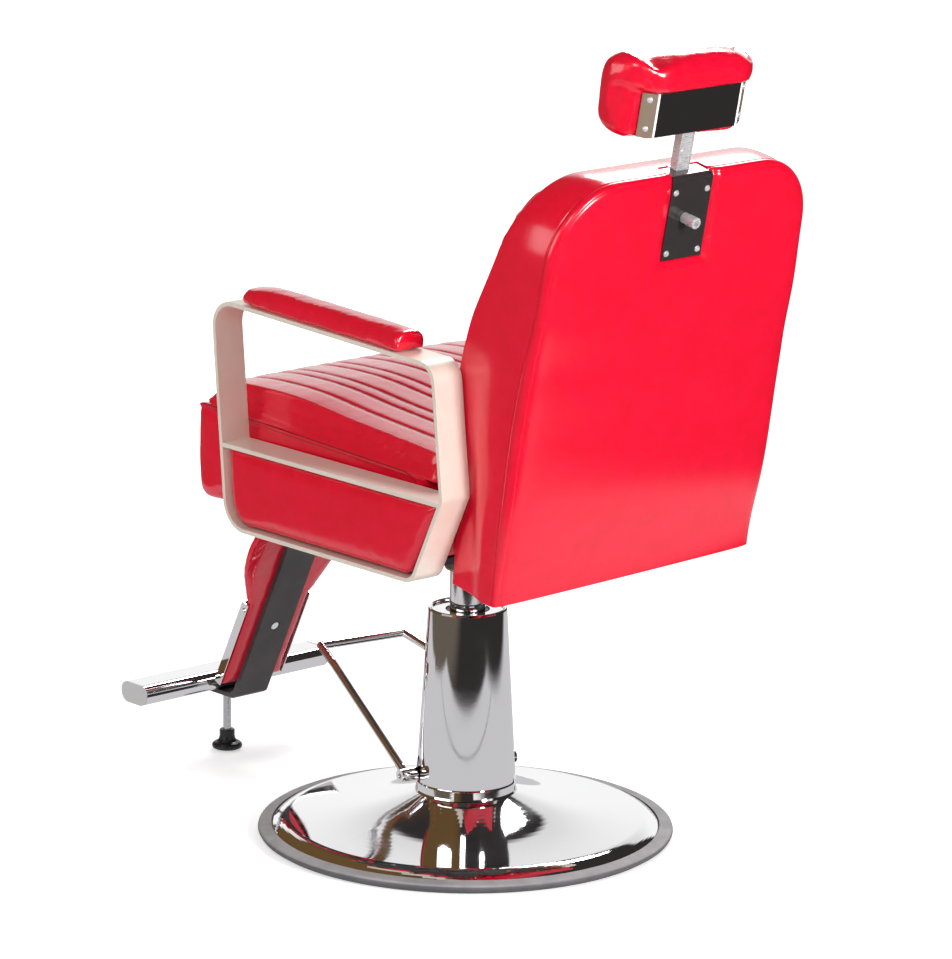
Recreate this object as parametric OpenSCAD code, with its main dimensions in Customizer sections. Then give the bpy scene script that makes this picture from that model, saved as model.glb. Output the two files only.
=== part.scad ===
// Hydraulic barber chair: round chrome base, foot pump, swivelling padded seat with loop arms,
// fixed legrest with footrest bar, reclining back and height-adjustable headrest.
// Millimetres, +Z up, origin on the floor under the centre of the base. The sitter faces -Y.

/* [Base] */
// Radius of the base over its rubber trim
base_r = 301; // [280:1:340]
// Width of the rubber trim ring
trim_w = 22; // [14:1:28]
// Height of the rubber trim ring
trim_h = 16; // [12:1:20]
// Height of the dome's top edge at the column
dome_top = 66; // [50:1:74]
// Width of the dome's rolled rim
roll_w = 23; // [18:1:30]
// Drop of the dome's rolled rim
roll_h = 11.6; // [9:0.1:14]
// Thickness of the pressed base shell
dome_wall = 2.5; // [1.5:0.5:4]
// Thickness of the ballast plate
plate_t = 12; // [8:1:14]

/* [Column] */
// Radius of the pump cover at its lower edge
cover_r = 72; // [68:1:76]
// Radius of the pump cover at its top
cover_top_r = 57; // [54:1:62]
// Height of the pump cover's top above the floor
cover_top = 339; // [320:1:350]
// Wall of the pump cover
cover_wall = 1.6; // [1.2:0.1:3]
// Height of the pump cover's lower edge
cover_low = 82.3; // [80:0.1:86]
// Radius of the chrome ram
ram_r = 26; // [24:1:26]
// Turn of the pump and pedal about the column, away from the seat's front
pump_turn = -9; // [-30:1:30]

/* [Pedal] */
// Height of the pedal shaft above the floor
pedal_z = 93; // [91:1:97]
// Distance of the pedal shaft in front of the column's axis
pedal_y = 24; // [22:1:26]
// Radius of the pedal shaft
pedal_shaft_r = 9.5; // [8:0.5:10]
// Half length of the pedal shaft
pedal_half = 98; // [96:1:110]
// Radius of the bent pedal bar
pedal_bar_r = 6; // [5:0.5:7]

/* [Seat] */
// Half width of the upholstered seat box
seat_half = 236; // [225:1:236]
// Front face of the seat box, in front of the column
seat_front = 328; // [310:1:334]
// Height of the seat box's underside
seat_low = 476; // [470:1:480]
// Height of the seat box's top edge at its front
seat_edge = 617; // [606:1:622]
// Height of the seat cushion's crest above the seat box's front edge
cushion_rise = 38; // [30:1:46]
// Number of sewn seams on each side of the middle, in the seat and back cushions
seam_count = 5; // [1:1:5]
// Width of a wide panel between two seams
panel_w = 48; // [40:1:48]
// Width of a narrow strip between two seams
strip_w = 28; // [20:1:28]
// Depth of a sewn seam
seam_deep = 6; // [3:1:8]

/* [Arms] */
// Gap between the seat box and the inside of each arm loop
arm_gap = 7.5; // [6.5:0.5:14]
// Width of the flat arm band
arm_w = 50; // [40:1:60]
// Thickness of the flat arm band
arm_t = 6; // [5:0.5:8]
// Height of the underside of the arm rail
rail_z = 582; // [570:1:590]
// Thickness of the arm pads
arm_pad_t = 29; // [20:1:32]

/* [Legrest] */
// Lean of the legrest from upright
leg_lean = 25.9; // [20:0.1:30]
// Width of the legrest channel
channel_w = 62; // [50:1:70]
// Thickness of the legrest pad
leg_pad_t = 21; // [18:1:26]
// Half length of the footrest bar
foot_half = 178; // [160:1:210]
// Depth of the footrest bar from front to back
foot_d = 58; // [50:1:62]
// Height of the footrest bar's section
foot_h = 31; // [26:1:34]

/* [Back] */
// How much further than the seat box the back reaches on each side
back_wider = 4; // [0:1:4]
// Height of the back's top edge
back_top = 1041; // [1000:1:1046]
// Height of the back's lower edge
back_low = 447; // [445:1:450]
// Radius of the back's top corners
back_corner = 112; // [90:1:130]
// Crown of the back's rear face
back_crown = 25; // [14:1:28]

/* [Headrest] */
// Half width of the headrest pad
head_half = 131; // [120:1:140]
// Height of the headrest pad
head_h = 120; // [110:1:130]
// Width of the headrest post
post_w = 24; // [22:1:26]
// Depth of the headrest post
post_d = 13; // [10:1:16]

/* [Hidden] */

run_fit = 0.05;
seat_gap = 0.3;
soft_gap = 0.3;
screw_head_r = 4.5;
screw_head_t = 2.2;

dome_r = base_r - trim_w;
collar_r = cover_r + 1;
collar_wall = 14;
foot_flange_t = 8;
foot_flange_r = 74;
pump_bolt_pcd = 120;
pump_body_r = 54;
pump_body_top = 122;
cylinder_r = 36;
cylinder_bore = 32;
cylinder_low = 108;
lid_drop = 4;
gland_low = 318;
gland_top = cover_top - lid_drop - cover_wall - seat_gap;
reservoir_r = 48;
piston_h = 22;
piston_low = 112;
ram_shoulder = 396;
journal_r = 20;
washer_t = 3;
hub_low = ram_shoulder + washer_t + run_fit;
hub_plate_t = 8;
pan_t = 10 - seat_gap;
pan_low = seat_low - seat_gap - pan_t;
hub_top = pan_low;
journal_top = hub_top - 6;
slot_w = 2 * pedal_shaft_r + 5;
slot_top = pedal_z + 25;

pedal_bore_fit = 0.05;
pedal_in = 87;
pedal_bend = [82, 238, 209];
pedal_corner = [72, 288, 221];
crank_throw = 14;
crank_lobe_r = 6;
plunger_r = 4.5;
crank_wall = 1.5;
plunger_top = pedal_z - crank_lobe_r - 0.3;
plunger_low = 44;
plunger_collar_r = 9;
plunger_collar_top = 80;
spring_low = 56;

// Outline of an arm loop as [depth, height] corners with their bend radii
arm_corners = [[-192, 464], [214, 464], [275, 592], [254, 779], [-224, 796]];
arm_radii = [46, 26, 18, 30, 40];
arm_in = seat_half + arm_gap;
board_in = seat_half + 0.5;
board_t = 12;
panel_in = board_in + board_t + soft_gap;
panel_edge = arm_in + arm_w - 3.5;
panel_crown = 2.5;
arm_pad_front = -162;
arm_pad_back = 180;

leg_y = -432;
leg_z = 220;
channel_t = 8;
channel_wall = 4;
leg_low = -116;
leg_high = 205;
kick_high = 40;
kick_t = 1.6;
kick_half = 61;
kick_front = 24;
kick_back = 10.5;
bracket_z = 96.7;
bracket_t = 6;
foot_y = -550;
foot_low_z = bracket_z + bracket_t + seat_gap;
foot_wall = 2;
stem_y = -547;
stem_r = 6;

hinge_y = 205;
hinge_z = 500;
hinge_x = 150;
hinge_r = 8;
ear_t = 8;
ear_r = 14;
ear_gap = 10.6;
iron_t = 10;
back_skin = 20;
back_half = seat_half + back_wider;

plate_below_top = 124;
plate_below_crown = 6.8;
plate_lean = 11.5;
plate_w = 74;
plate_h = 121;
plate_t3 = 3;
plate_bend = 8;
plate_flange = 34;
post_back = -23.3;
knob_x = 6;
knob_z = 60;
socket_wall = 2.5;
socket_low = -82;
head_low = 172;
head_plate_low = 178;
head_plate_h = 62;
head_plate_half = 78;
head_plate_back = -13.5;
head_plate_t = 2.5;
flange_turn = 35;
flange_len = 22.5;

chrome = "Silver";
cherry = "Crimson";
champagne = "Wheat";
charcoal = "DimGray";

function unit(v) = v / norm(v);
function mix(a, b, t) = a + (b - a) * t;
function clamp(x, lo, hi) = max(lo, min(hi, x));
function smooth(a, b, x) = let (t = clamp((x - a) / (b - a), 0, 1)) t * t * (3 - 2 * t);
// Value of a curve given by [position, value] stations, with straight steps between them
function curve(st, x, i = 0) =
    x <= st[0][0] ? st[0][1] :
    i >= len(st) - 1 ? st[len(st) - 1][1] :
    x <= st[i + 1][0] ? mix(st[i][1], st[i + 1][1], (x - st[i][0]) / (st[i + 1][0] - st[i][0])) :
    curve(st, x, i + 1);

// Half angle, inward direction and inset of a convex outline's corner
function bend_half(p, i) = let (
    n = len(p), a = unit(p[(i + n - 1) % n] - p[i]), b = unit(p[(i + 1) % n] - p[i])) acos(a * b) / 2;
function bend_in(p, i) = let (
    n = len(p), a = unit(p[(i + n - 1) % n] - p[i]), b = unit(p[(i + 1) % n] - p[i])) unit(a + b);
function inset(p, t) = [for (i = [0:len(p) - 1]) p[i] + bend_in(p, i) * t / sin(bend_half(p, i))];
function along(p, i, j, t) = p[i] + unit(p[j] - p[i]) * t;

// Convex outline with true round corners: a polygon through the tangent points and a disc at each
module round_outline(p, radii) {
    n = len(p);
    polygon([for (i = [0:n - 1], s = [0, 1]) let (
        reach = radii[i] / tan(bend_half(p, i)),
        j = s == 0 ? (i + n - 1) % n : (i + 1) % n) along(p, i, j, reach)]);
    for (i = [0:n - 1])
        translate(p[i] + bend_in(p, i) * radii[i] / sin(bend_half(p, i)))
            circle(r = radii[i], $fn = 96);
}

// Extrudes a [depth, height] outline across the chair from x0 to x1
module across(x0, x1) {
    translate([x0, 0, 0])
        rotate([90, 0, 90])
            linear_extrude(x1 - x0) children();
}

module rod_between(a, b, r) {
    d = b - a;
    translate(a)
        rotate([0, acos(d[2] / norm(d)), atan2(d[1], d[0])])
            cylinder(r = r, h = norm(d), $fn = 48);
}

// Closed skin over rings of equal length, ordered from the bottom up, each anticlockwise from above
module ring_skin(rings) {
    n = len(rings[0]);
    m = len(rings);
    mean = function(r) [for (k = [0:2]) [for (p = r) p[k]] * [for (p = r) 1] / n];
    pts = concat([for (r = rings, p = r) p], [mean(rings[0])], [mean(rings[m - 1])]);
    faces = concat(
        [for (j = [0:m - 2], i = [0:n - 1], h = [0, 1]) let (
            a = j * n + i, b = j * n + (i + 1) % n, c = a + n, d = b + n) h == 0 ? [a, c, b] : [b, c, d]],
        [for (i = [0:n - 1]) [m * n, i, (i + 1) % n]],
        [for (i = [0:n - 1]) [m * n + 1, (m - 1) * n + (i + 1) % n, (m - 1) * n + i]]);
    polyhedron(pts, faces);
}

// Padded slab: a crowned sheet over a grid of us (-1 to 1 across) and vs, with sides and a flat back
module padded_slab(us, vs, half, face, back, bulge = 0, back_inset = 0) {
    nu = len(us);
    nv = len(vs);
    rim = concat(
        [for (i = [0:nu - 1]) [i, 0]],
        [for (j = [1:nv - 1]) [nu - 1, j]],
        [for (i = [nu - 2:-1:0]) [i, nv - 1]],
        [for (j = [nv - 2:-1:1]) [0, j]]);
    nr = len(rim);
    fore = function(q) q[1] == 0 ? -1 : q[1] == nv - 1 ? 1 : 0;
    at = function(q, z, out) [us[q[0]] * (half(vs[q[1]]) + out), vs[q[1]] + fore(q) * out, z];
    top = [for (j = [0:nv - 1], i = [0:nu - 1]) [us[i] * half(vs[j]), vs[j], face(us[i], vs[j])]];
    middle = [for (q = rim) at(q, mix(back(vs[q[1]]), face(us[q[0]], vs[q[1]]), 0.5), bulge)];
    low = [for (q = rim) at(q, back(vs[q[1]]), -back_inset)];
    vm = (vs[0] + vs[nv - 1]) / 2;
    pts = concat(top, middle, low, [[0, vm, back(vm)]]);
    mid0 = nu * nv;
    low0 = mid0 + nr;
    id = function(q) q[1] * nu + q[0];
    faces = concat(
        [for (j = [0:nv - 2], i = [0:nu - 2], h = [0, 1]) let (
            a = j * nu + i, b = a + 1, c = a + nu, d = c + 1) h == 0 ? [a, c, b] : [b, c, d]],
        [for (k = [0:nr - 1], h = [0, 1]) let (
            a = id(rim[k]), b = id(rim[(k + 1) % nr]), c = mid0 + k, d = mid0 + (k + 1) % nr)
            h == 0 ? [a, b, c] : [b, d, c]],
        [for (k = [0:nr - 1], h = [0, 1]) let (
            a = mid0 + k, b = mid0 + (k + 1) % nr, c = low0 + k, d = low0 + (k + 1) % nr)
            h == 0 ? [a, b, c] : [b, d, c]],
        [for (k = [0:nr - 1]) [low0 + nr, low0 + k, low0 + (k + 1) % nr]]);
    polyhedron(pts, faces);
}

// ---------------------------------------------------------------- base

module pump_frame() {
    rotate([0, 0, pump_turn]) children();
}

// Height of the dome's outer face at a radius: a bell that flattens outwards, then rolls down at the rim
roll_r = dome_r + 2 - roll_w;
roll_z = trim_h - 2 + roll_h;
function dome_z(r) = let (
    t = (roll_r - r) / (roll_r - collar_r),
    d = r - roll_r,
    slope = 0.71 * (dome_top - roll_z) / (roll_r - collar_r))
    d < 0 ? roll_z + (dome_top - roll_z) * (0.71 * t + 0.29 * pow(t, 3))
        : roll_z - slope * d - (roll_h - slope * roll_w) * pow(d / roll_w, 2);

module base_shell() {
    rim = 10;
    bell = 18;
    steps = rim + bell + 1;
    rs = concat([for (i = [0:rim - 1]) dome_r + 2 - roll_w * i / rim],
        [for (i = [0:bell]) mix(roll_r, collar_r, i / bell)], [collar_r - collar_wall]);
    color(chrome)
        rotate_extrude($fn = 180)
            polygon(concat(
                [for (r = rs) [r, dome_z(max(r, collar_r))]],
                [for (i = [steps:-1:0]) [rs[i], dome_z(max(rs[i], collar_r)) - dome_wall]]));
}

module base_trim() {
    inner = dome_r + 2.4;
    bead = 4.5;
    color(charcoal)
        rotate_extrude($fn = 180)
            union() {
                polygon([[inner, 0], [base_r - 9, 0], [base_r - 2, 4.5], [base_r, 8], [base_r, trim_h - 6.5],
                    [base_r - bead, trim_h - 6.5], [base_r - bead, trim_h - 2], [inner, trim_h]]);
                translate([base_r - bead, trim_h - 6.5])
                    circle(r = bead, $fn = 48);
            }
}

module ballast_plate() {
    color(charcoal)
        difference() {
            cylinder(r = dome_r + 1, h = plate_t, $fn = 180);
            pump_frame()
                for (a = [0:60:300])
                    rotate([0, 0, a])
                        translate([pump_bolt_pcd / 2, 0, 4])
                            cylinder(r = 4.2, h = plate_t, $fn = 32);
        }
}

module column_collar() {
    low = dome_top + seat_gap;
    top = cover_low - seat_gap;
    color(chrome)
        rotate_extrude($fn = 180)
            polygon([[collar_r - collar_wall, low], [collar_r + 1, low], [collar_r, low + 3],
                [collar_r - 1.5, top - 3], [collar_r - 4, top], [collar_r - collar_wall, top]]);
}

module pump_cover() {
    lip_r = ram_r + 6;
    color(chrome)
        difference() {
            rotate_extrude($fn = 180)
                union() {
                    polygon([[cover_r - cover_wall, cover_low], [cover_r, cover_low],
                        [cover_top_r, cover_top - 3], [cover_top_r - 1.2, cover_top - 0.6],
                        [cover_top_r - 3, cover_top], [cover_top_r - 5, cover_top - 1.5],
                        [cover_top_r - 5.4, cover_top - lid_drop], [lip_r, cover_top - lid_drop],
                        [lip_r, cover_top - lid_drop - cover_wall],
                        [cover_top_r - cover_wall, cover_top - lid_drop - cover_wall]]);
                }
            pump_frame()
                for (side = [-1, 1])
                    translate([side * cover_r, -pedal_y, 0]) {
                        translate([-25, -slot_w / 2, cover_low - 1])
                            cube([50, slot_w, slot_top - slot_w / 2 - cover_low + 1]);
                        translate([-25, 0, slot_top - slot_w / 2])
                            rotate([0, 90, 0])
                                cylinder(r = slot_w / 2, h = 50, $fn = 48);
                    }
        }
}

module pump_body() {
    low = plate_t + seat_gap;
    color("SlateGray")
        pump_frame()
            difference() {
                union() {
                    translate([0, 0, low])
                        cylinder(r = foot_flange_r, h = foot_flange_t, $fn = 96);
                    translate([0, 0, low])
                        cylinder(r = pump_body_r, h = pump_body_top - low, $fn = 96);
                }
                for (a = [0:60:300])
                    rotate([0, 0, a])
                        translate([pump_bolt_pcd / 2 + 5, 0, low - 1])
                            cylinder(r = 4.2, h = foot_flange_t + 2, $fn = 32);
                translate([0, 0, cylinder_low])
                    cylinder(r = cylinder_r + run_fit, h = 40, $fn = 96);
                translate([0, 0, pump_body_top - 6])
                    difference() {
                        cylinder(r = pump_body_r + 1, h = 10, $fn = 96);
                        cylinder(r = reservoir_r - 3, h = 10, $fn = 96);
                    }
                translate([-pump_body_r - 1, -pedal_y, pedal_z])
                    rotate([0, 90, 0])
                        cylinder(r = pedal_shaft_r + pedal_bore_fit, h = 2 * pump_body_r + 2, $fn = 64);
                translate([-10, -pedal_y - 24, 78.5])
                    cube([20, 40, 28]);
                translate([0, -pedal_y - crank_throw, spring_low - seat_gap])
                    cylinder(r = plunger_collar_r + 1, h = 40, $fn = 48);
                translate([0, -pedal_y - crank_throw, plunger_low - 10])
                    cylinder(r = plunger_r + run_fit, h = 40, $fn = 48);
            }
}

module pump_bolts() {
    color(chrome)
        pump_frame()
            for (a = [0:60:300])
                rotate([0, 0, a])
                    translate([pump_bolt_pcd / 2 + 5, 0, 0]) {
                        translate([0, 0, plate_t + foot_flange_t + 2 * seat_gap])
                            cylinder(r = 7.5, h = 6, $fn = 6);
                        translate([0, 0, plate_t + seat_gap + 0.2])
                            cylinder(r = 4, h = foot_flange_t + 2, $fn = 32);
                    }
}

module tube(r_out, r_in, low, top) {
    translate([0, 0, low])
        difference() {
            cylinder(r = r_out, h = top - low, $fn = 96);
            translate([0, 0, -1])
                cylinder(r = r_in, h = top - low + 2, $fn = 96);
        }
}

module reservoir_tube() {
    color("SlateGray")
        tube(reservoir_r, reservoir_r - 2.5, pump_body_top - 6 + seat_gap, gland_low - seat_gap);
}

module cylinder_tube() {
    color("LightSteelBlue")
        tube(cylinder_r, cylinder_bore, cylinder_low + seat_gap, gland_low - seat_gap);
}

module gland_nut() {
    color("SlateGray")
        difference() {
            union() {
                tube(reservoir_r, ram_r + run_fit, gland_low, gland_top - 5);
                tube(reservoir_r - 11, ram_r + run_fit, gland_low, gland_top);
            }
            for (a = [0:90:270])
                rotate([0, 0, a])
                    translate([reservoir_r - 5.5, 0, gland_low + 4])
                        cylinder(r = 3, h = 20, $fn = 32);
            tube(ram_r + 4 + seat_gap, 0.1, gland_top - 5, gland_top + 1);
        }
}

module wiper_seal() {
    color("Black")
        tube(ram_r + 4, ram_r + run_fit, gland_top - 5 + 0.2, gland_top + 1);
}

module plunger_spring() {
    turns = 5;
    wire = 0.9;
    coil_r = 7.9;
    low = spring_low + wire;
    high = plunger_collar_top - 6 - seat_gap - wire;
    steps = turns * 14;
    ring = function(k) let (
        a = 360 * turns * k / steps,
        c = [coil_r * cos(a), coil_r * sin(a), mix(low, high, k / steps)])
        [for (s = [0:5]) c + wire * [cos(a) * cos(60 * s), sin(a) * cos(60 * s), sin(60 * s)]];
    color("Gray")
        pump_frame()
            translate([0, -pedal_y - crank_throw, 0])
                ring_skin([for (k = [0:steps]) ring(steps - k)]);
}

// ---------------------------------------------------------------- pedal

module at_pedal_shaft() {
    pump_frame()
        translate([0, -pedal_y, pedal_z])
            children();
}

// A point of the pedal bar's straight arm, as a fraction of the way from the shaft to the bend
function bar_point(side, t) = [side * mix(pedal_in, pedal_bend[0], t), t * (pedal_y - pedal_bend[1]),
    t * (pedal_bend[2] - pedal_z)];

module pedal_shaft() {
    color(chrome)
        at_pedal_shaft()
            difference() {
                rotate([0, 90, 0])
                    translate([0, 0, -pedal_half])
                        cylinder(r = pedal_shaft_r, h = 2 * pedal_half, $fn = 64);
                for (side = [-1, 1]) {
                    translate([side * pedal_half, 0, 0])
                        rotate([0, -90 * side, 0])
                            cylinder(r = 4.2, h = 4.5, $fn = 32);
                    rod_between([side * pedal_in, 0, 0], bar_point(side, 0.14), pedal_bar_r + run_fit);
                }
            }
}

module pedal_bar() {
    start = bar_point(1, 0.01);
    bend = bar_point(1, 1);
    corner = [pedal_corner[0], pedal_y - pedal_corner[1], pedal_corner[2] - pedal_z];
    flip = function(p) [-p[0], p[1], p[2]];
    color(chrome)
        at_pedal_shaft() {
            for (s = [0, 1]) {
                a = s == 0 ? start : flip(start);
                b = s == 0 ? bend : flip(bend);
                c = s == 0 ? corner : flip(corner);
                rod_between(a, b, pedal_bar_r);
                rod_between(b, c, pedal_bar_r);
                for (p = [b, c])
                    translate(p)
                        sphere(r = pedal_bar_r + 0.05, $fn = 48);
            }
            rod_between(corner, flip(corner), pedal_bar_r);
        }
}

module pump_crank() {
    color("SlateGray")
        at_pedal_shaft()
            difference() {
                rotate([0, 90, 0])
                    translate([0, 0, -8])
                        linear_extrude(16)
                            union() {
                                circle(r = pedal_shaft_r + crank_wall, $fn = 64);
                                translate([0, -crank_throw])
                                    circle(r = crank_lobe_r, $fn = 48);
                                translate([-crank_lobe_r, -crank_throw])
                                    square([2 * crank_lobe_r, crank_throw]);
                            }
                rotate([0, 90, 0])
                    translate([0, 0, -9])
                        cylinder(r = pedal_shaft_r + run_fit, h = 18, $fn = 64);
            }
}

module pedal_grub_screws() {
    color("DimGray")
        at_pedal_shaft()
            for (side = [-1, 1])
                translate([side * (pedal_half - 1), 0, 0])
                    rotate([0, -90 * side, 0])
                        difference() {
                            cylinder(r = 4.1, h = 3, $fn = 32);
                            translate([0, 0, -1])
                                cylinder(r = 2.2, h = 3, $fn = 6);
                        }
}

module pump_plunger() {
    color("LightSteelBlue")
        pump_frame()
            translate([0, -pedal_y - crank_throw, 0]) {
                translate([0, 0, plunger_low])
                    cylinder(r = plunger_r, h = plunger_top - plunger_low, $fn = 48);
                translate([0, 0, plunger_collar_top - 6])
                    cylinder(r = plunger_collar_r, h = 5, $fn = 48);
            }
}

// ---------------------------------------------------------------- ram

module ram() {
    color(chrome)
        union() {
            translate([0, 0, piston_low])
                cylinder(r = cylinder_bore - run_fit, h = 7, $fn = 96);
            translate([0, 0, piston_low + 7])
                cylinder(r = cylinder_bore - 4, h = 7, $fn = 96);
            translate([0, 0, piston_low + 14])
                cylinder(r = cylinder_bore - run_fit, h = piston_h - 14, $fn = 96);
            translate([0, 0, piston_low])
                cylinder(r = ram_r, h = ram_shoulder - piston_low, $fn = 96);
            translate([0, 0, piston_low])
                cylinder(r = journal_r, h = journal_top - piston_low - 2, $fn = 96);
            translate([0, 0, journal_top - 2])
                cylinder(r1 = journal_r, r2 = journal_r - 2, h = 2, $fn = 96);
        }
}

module piston_seal() {
    color("Black")
        tube(cylinder_bore - 0.1, cylinder_bore - 4 + 0.1, piston_low + 7 + 0.1, piston_low + 14 - 0.1);
}

module swivel_washer() {
    color("Peru")
        tube(ram_r + 7, journal_r + run_fit, ram_shoulder, ram_shoulder + washer_t);
}

// ---------------------------------------------------------------- seat carcass

module swivel_hub() {
    hub_r = journal_r + 14;
    plate = [200, 190];
    hub_h = hub_top - hub_plate_t - hub_low;
    color(charcoal)
        difference() {
            union() {
                translate([0, 0, hub_low])
                    cylinder(r = hub_r, h = hub_h + 1, $fn = 96);
                translate([0, 0, hub_low + hub_h - 14])
                    cylinder(r1 = hub_r, r2 = hub_r + 14, h = 14, $fn = 96);
                translate([-plate[0] / 2, -plate[1] / 2, hub_top - hub_plate_t])
                    cube([plate[0], plate[1], hub_plate_t]);
                for (a = [45:90:315])
                    rotate([0, 0, a])
                        rotate([90, 0, 0])
                            translate([0, 0, -4])
                                linear_extrude(8)
                                    polygon([[28, hub_low + 4], [hub_r, hub_low + 4],
                                        [92, hub_top - hub_plate_t], [92, hub_top - hub_plate_t + 1],
                                        [28, hub_top - hub_plate_t + 1]]);
            }
            translate([0, 0, hub_low - 1])
                cylinder(r = journal_r + run_fit, h = hub_top - hub_low - 2, $fn = 96);
            for (x = [-1, 1], y = [-1, 1])
                translate([x * 85, y * 80, hub_top - hub_plate_t - 1])
                    cylinder(r = 5.5, h = hub_plate_t + 2, $fn = 48);
        }
}

module hub_bolts() {
    color(chrome)
        for (x = [-1, 1], y = [-1, 1])
            translate([x * 85, y * 80, 0]) {
                translate([0, 0, hub_top - hub_plate_t - 6 - 0.2])
                    cylinder(r = 8.5, h = 6, $fn = 6);
                translate([0, 0, hub_top - hub_plate_t - 0.2])
                    cylinder(r = 5, h = hub_plate_t + 6, $fn = 48);
            }
}

module seat_pan() {
    half = seat_half - 36;
    front = seat_front - 46;
    color(charcoal)
        difference() {
            translate([-half, -front, pan_low])
                cube([2 * half, front + 172, pan_t]);
            for (x = [-1, 1], y = [-1, 1])
                translate([x * 85, y * 80, pan_low - 1])
                    cylinder(r = 5.4, h = 7.5, $fn = 48);
        }
}

// Rounded rectangle ring of 4 x (k + 1) points, anticlockwise from above
function box_ring(x0, x1, y0, y1, r, z, k = 5) = [for (c = [0:3], i = [0:k]) let (
    a = 90 * c + 90 * i / k,
    cx = (c == 0 || c == 3) ? x1 - r : x0 + r,
    cy = c < 2 ? y1 - r : y0 + r) [cx + r * cos(a), cy + r * sin(a), z]];

// The seat box's top edge runs down a little towards the back
function edge_z(y) = seat_edge - 0.0395 * (y + seat_front);

module seat_box() {
    back = 178;
    r = 10;
    fs = [0, 0.03, 0.09, 0.16, 0.4, 0.7, 0.93, 0.98, 1];
    pull = [16, 7, 1.5, 0, 0, 0, 0, 2.5, 8];
    swell = [0, 0, 0, 1, 3, 2.5, 1, 0, 0];
    color(cherry)
        ring_skin([for (i = [0:len(fs) - 1])
            [for (p = box_ring(-seat_half + pull[i] / 4, seat_half - pull[i] / 4,
                -seat_front + pull[i] - swell[i], back, r, 0))
                [p[0], p[1], mix(seat_low, edge_z(p[1]), fs[i])]]]);
}

// Places of the sewn seams on one side, from the middle outwards
seam_x = [for (k = [0:seam_count - 1]) panel_w / 2 + (panel_w + strip_w) * floor(k / 2) + strip_w * (k % 2)];
seam_w = 14;
// Columns of a channelled cushion: three at each seam, one between seams, more at the rounded edge
function seam_columns(half) = let (
    n = len(seam_x),
    right = concat(
        [for (k = [0:n - 1], t = [0, 1, 2, 3])
            t == 0 ? (k == 0 ? seam_x[0] / 2 : (seam_x[k - 1] + seam_x[k]) / 2) : seam_x[k] + 4 * (t - 2)],
        [for (t = [0.3, 0.55, 0.74, 0.88, 0.96, 1]) mix(seam_x[n - 1] + 4, half, t)]),
    m = len(right))
    concat([for (k = [m - 1:-1:0]) -right[k] / half], [0], [for (x = right) x / half]);
function seam_dip(x) = let (near = min([for (g = seam_x) abs(abs(x) - g)]))
    seam_deep * pow(clamp(1 - near / seam_w, 0, 1), 2.4);

// Crest of the seat cushion from front to back, above the seat box's front edge
cushion_line = [[-314, 5], [-308, 15], [-296, 23], [-278, 30], [-250, 35], [-210, 38], [-150, 39],
    [-100, 36], [-30, 28], [60, 20], [130, 15], [180, 10], [203, 2], [213, -9]];

module seat_cushion() {
    front = cushion_line[0][0];
    back = cushion_line[len(cushion_line) - 1][0];
    half = seat_half - 2;
    us = seam_columns(half);
    vs = [for (q = cushion_line) q[0]];
    low = function(v) edge_z(v) + soft_gap;
    dip = function(u, v) seam_dip(u * half) * smooth(front + 10, front + 60, v) * (1 - smooth(back - 18, back, v));
    drop = function(u) 30 * pow(clamp((abs(u) - 0.84) / 0.16, 0, 1), 2.4);
    face = function(u, v) max(low(v) + 4, seat_edge + curve(cushion_line, v) * cushion_rise / 38 + 3 * (1 - u * u)
        - drop(u) * smooth(front, front + 20, v) - dip(u, v));
    color(cherry)
        padded_slab(us, vs, function(v) half - 8 * (1 - smooth(front, front + 26, v))
            - 6 * smooth(back - 26, back, v), face, low, 0, 2);
}

// ---------------------------------------------------------------- arms

module each_side(side) {
    if (side > 0) children();
    else mirror([1, 0, 0]) children();
}

module arm_loop(side) {
    color(champagne)
        each_side(side)
            difference() {
                across(arm_in, arm_in + arm_w)
                    round_outline(arm_corners, arm_radii);
                across(arm_in - 1, arm_in + arm_w + 1)
                    round_outline(inset(arm_corners, arm_t), [for (r = arm_radii) r - arm_t]);
            }
}

module arm_rail(side) {
    color(champagne)
        each_side(side)
            intersection() {
                across(arm_in, arm_in + arm_w)
                    round_outline(inset(arm_corners, arm_t + 0.1), [for (r = arm_radii) r - arm_t - 0.1]);
                translate([arm_in, -300, rail_z])
                    cube([arm_w, 700, arm_t]);
            }
}

module side_board(side) {
    color("BurlyWood")
        each_side(side)
            intersection() {
                across(board_in, board_in + board_t)
                    round_outline(inset(arm_corners, arm_t + 0.5), [for (r = arm_radii) r - arm_t - 0.5]);
                translate([0, -300, 400])
                    cube([400, 700, rail_z - seat_gap - 400]);
            }
}

// Front and back edges of the padded side panel at a height, just inside the arm loop
panel_front = [[471, -152], [474, -163], [480, -174], [490, -183], [505, -188], [581, -194]];
panel_back = [[471, 190], [476, 202], [490, 211], [530, 232], [574, 254], [581, 255]];

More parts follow.
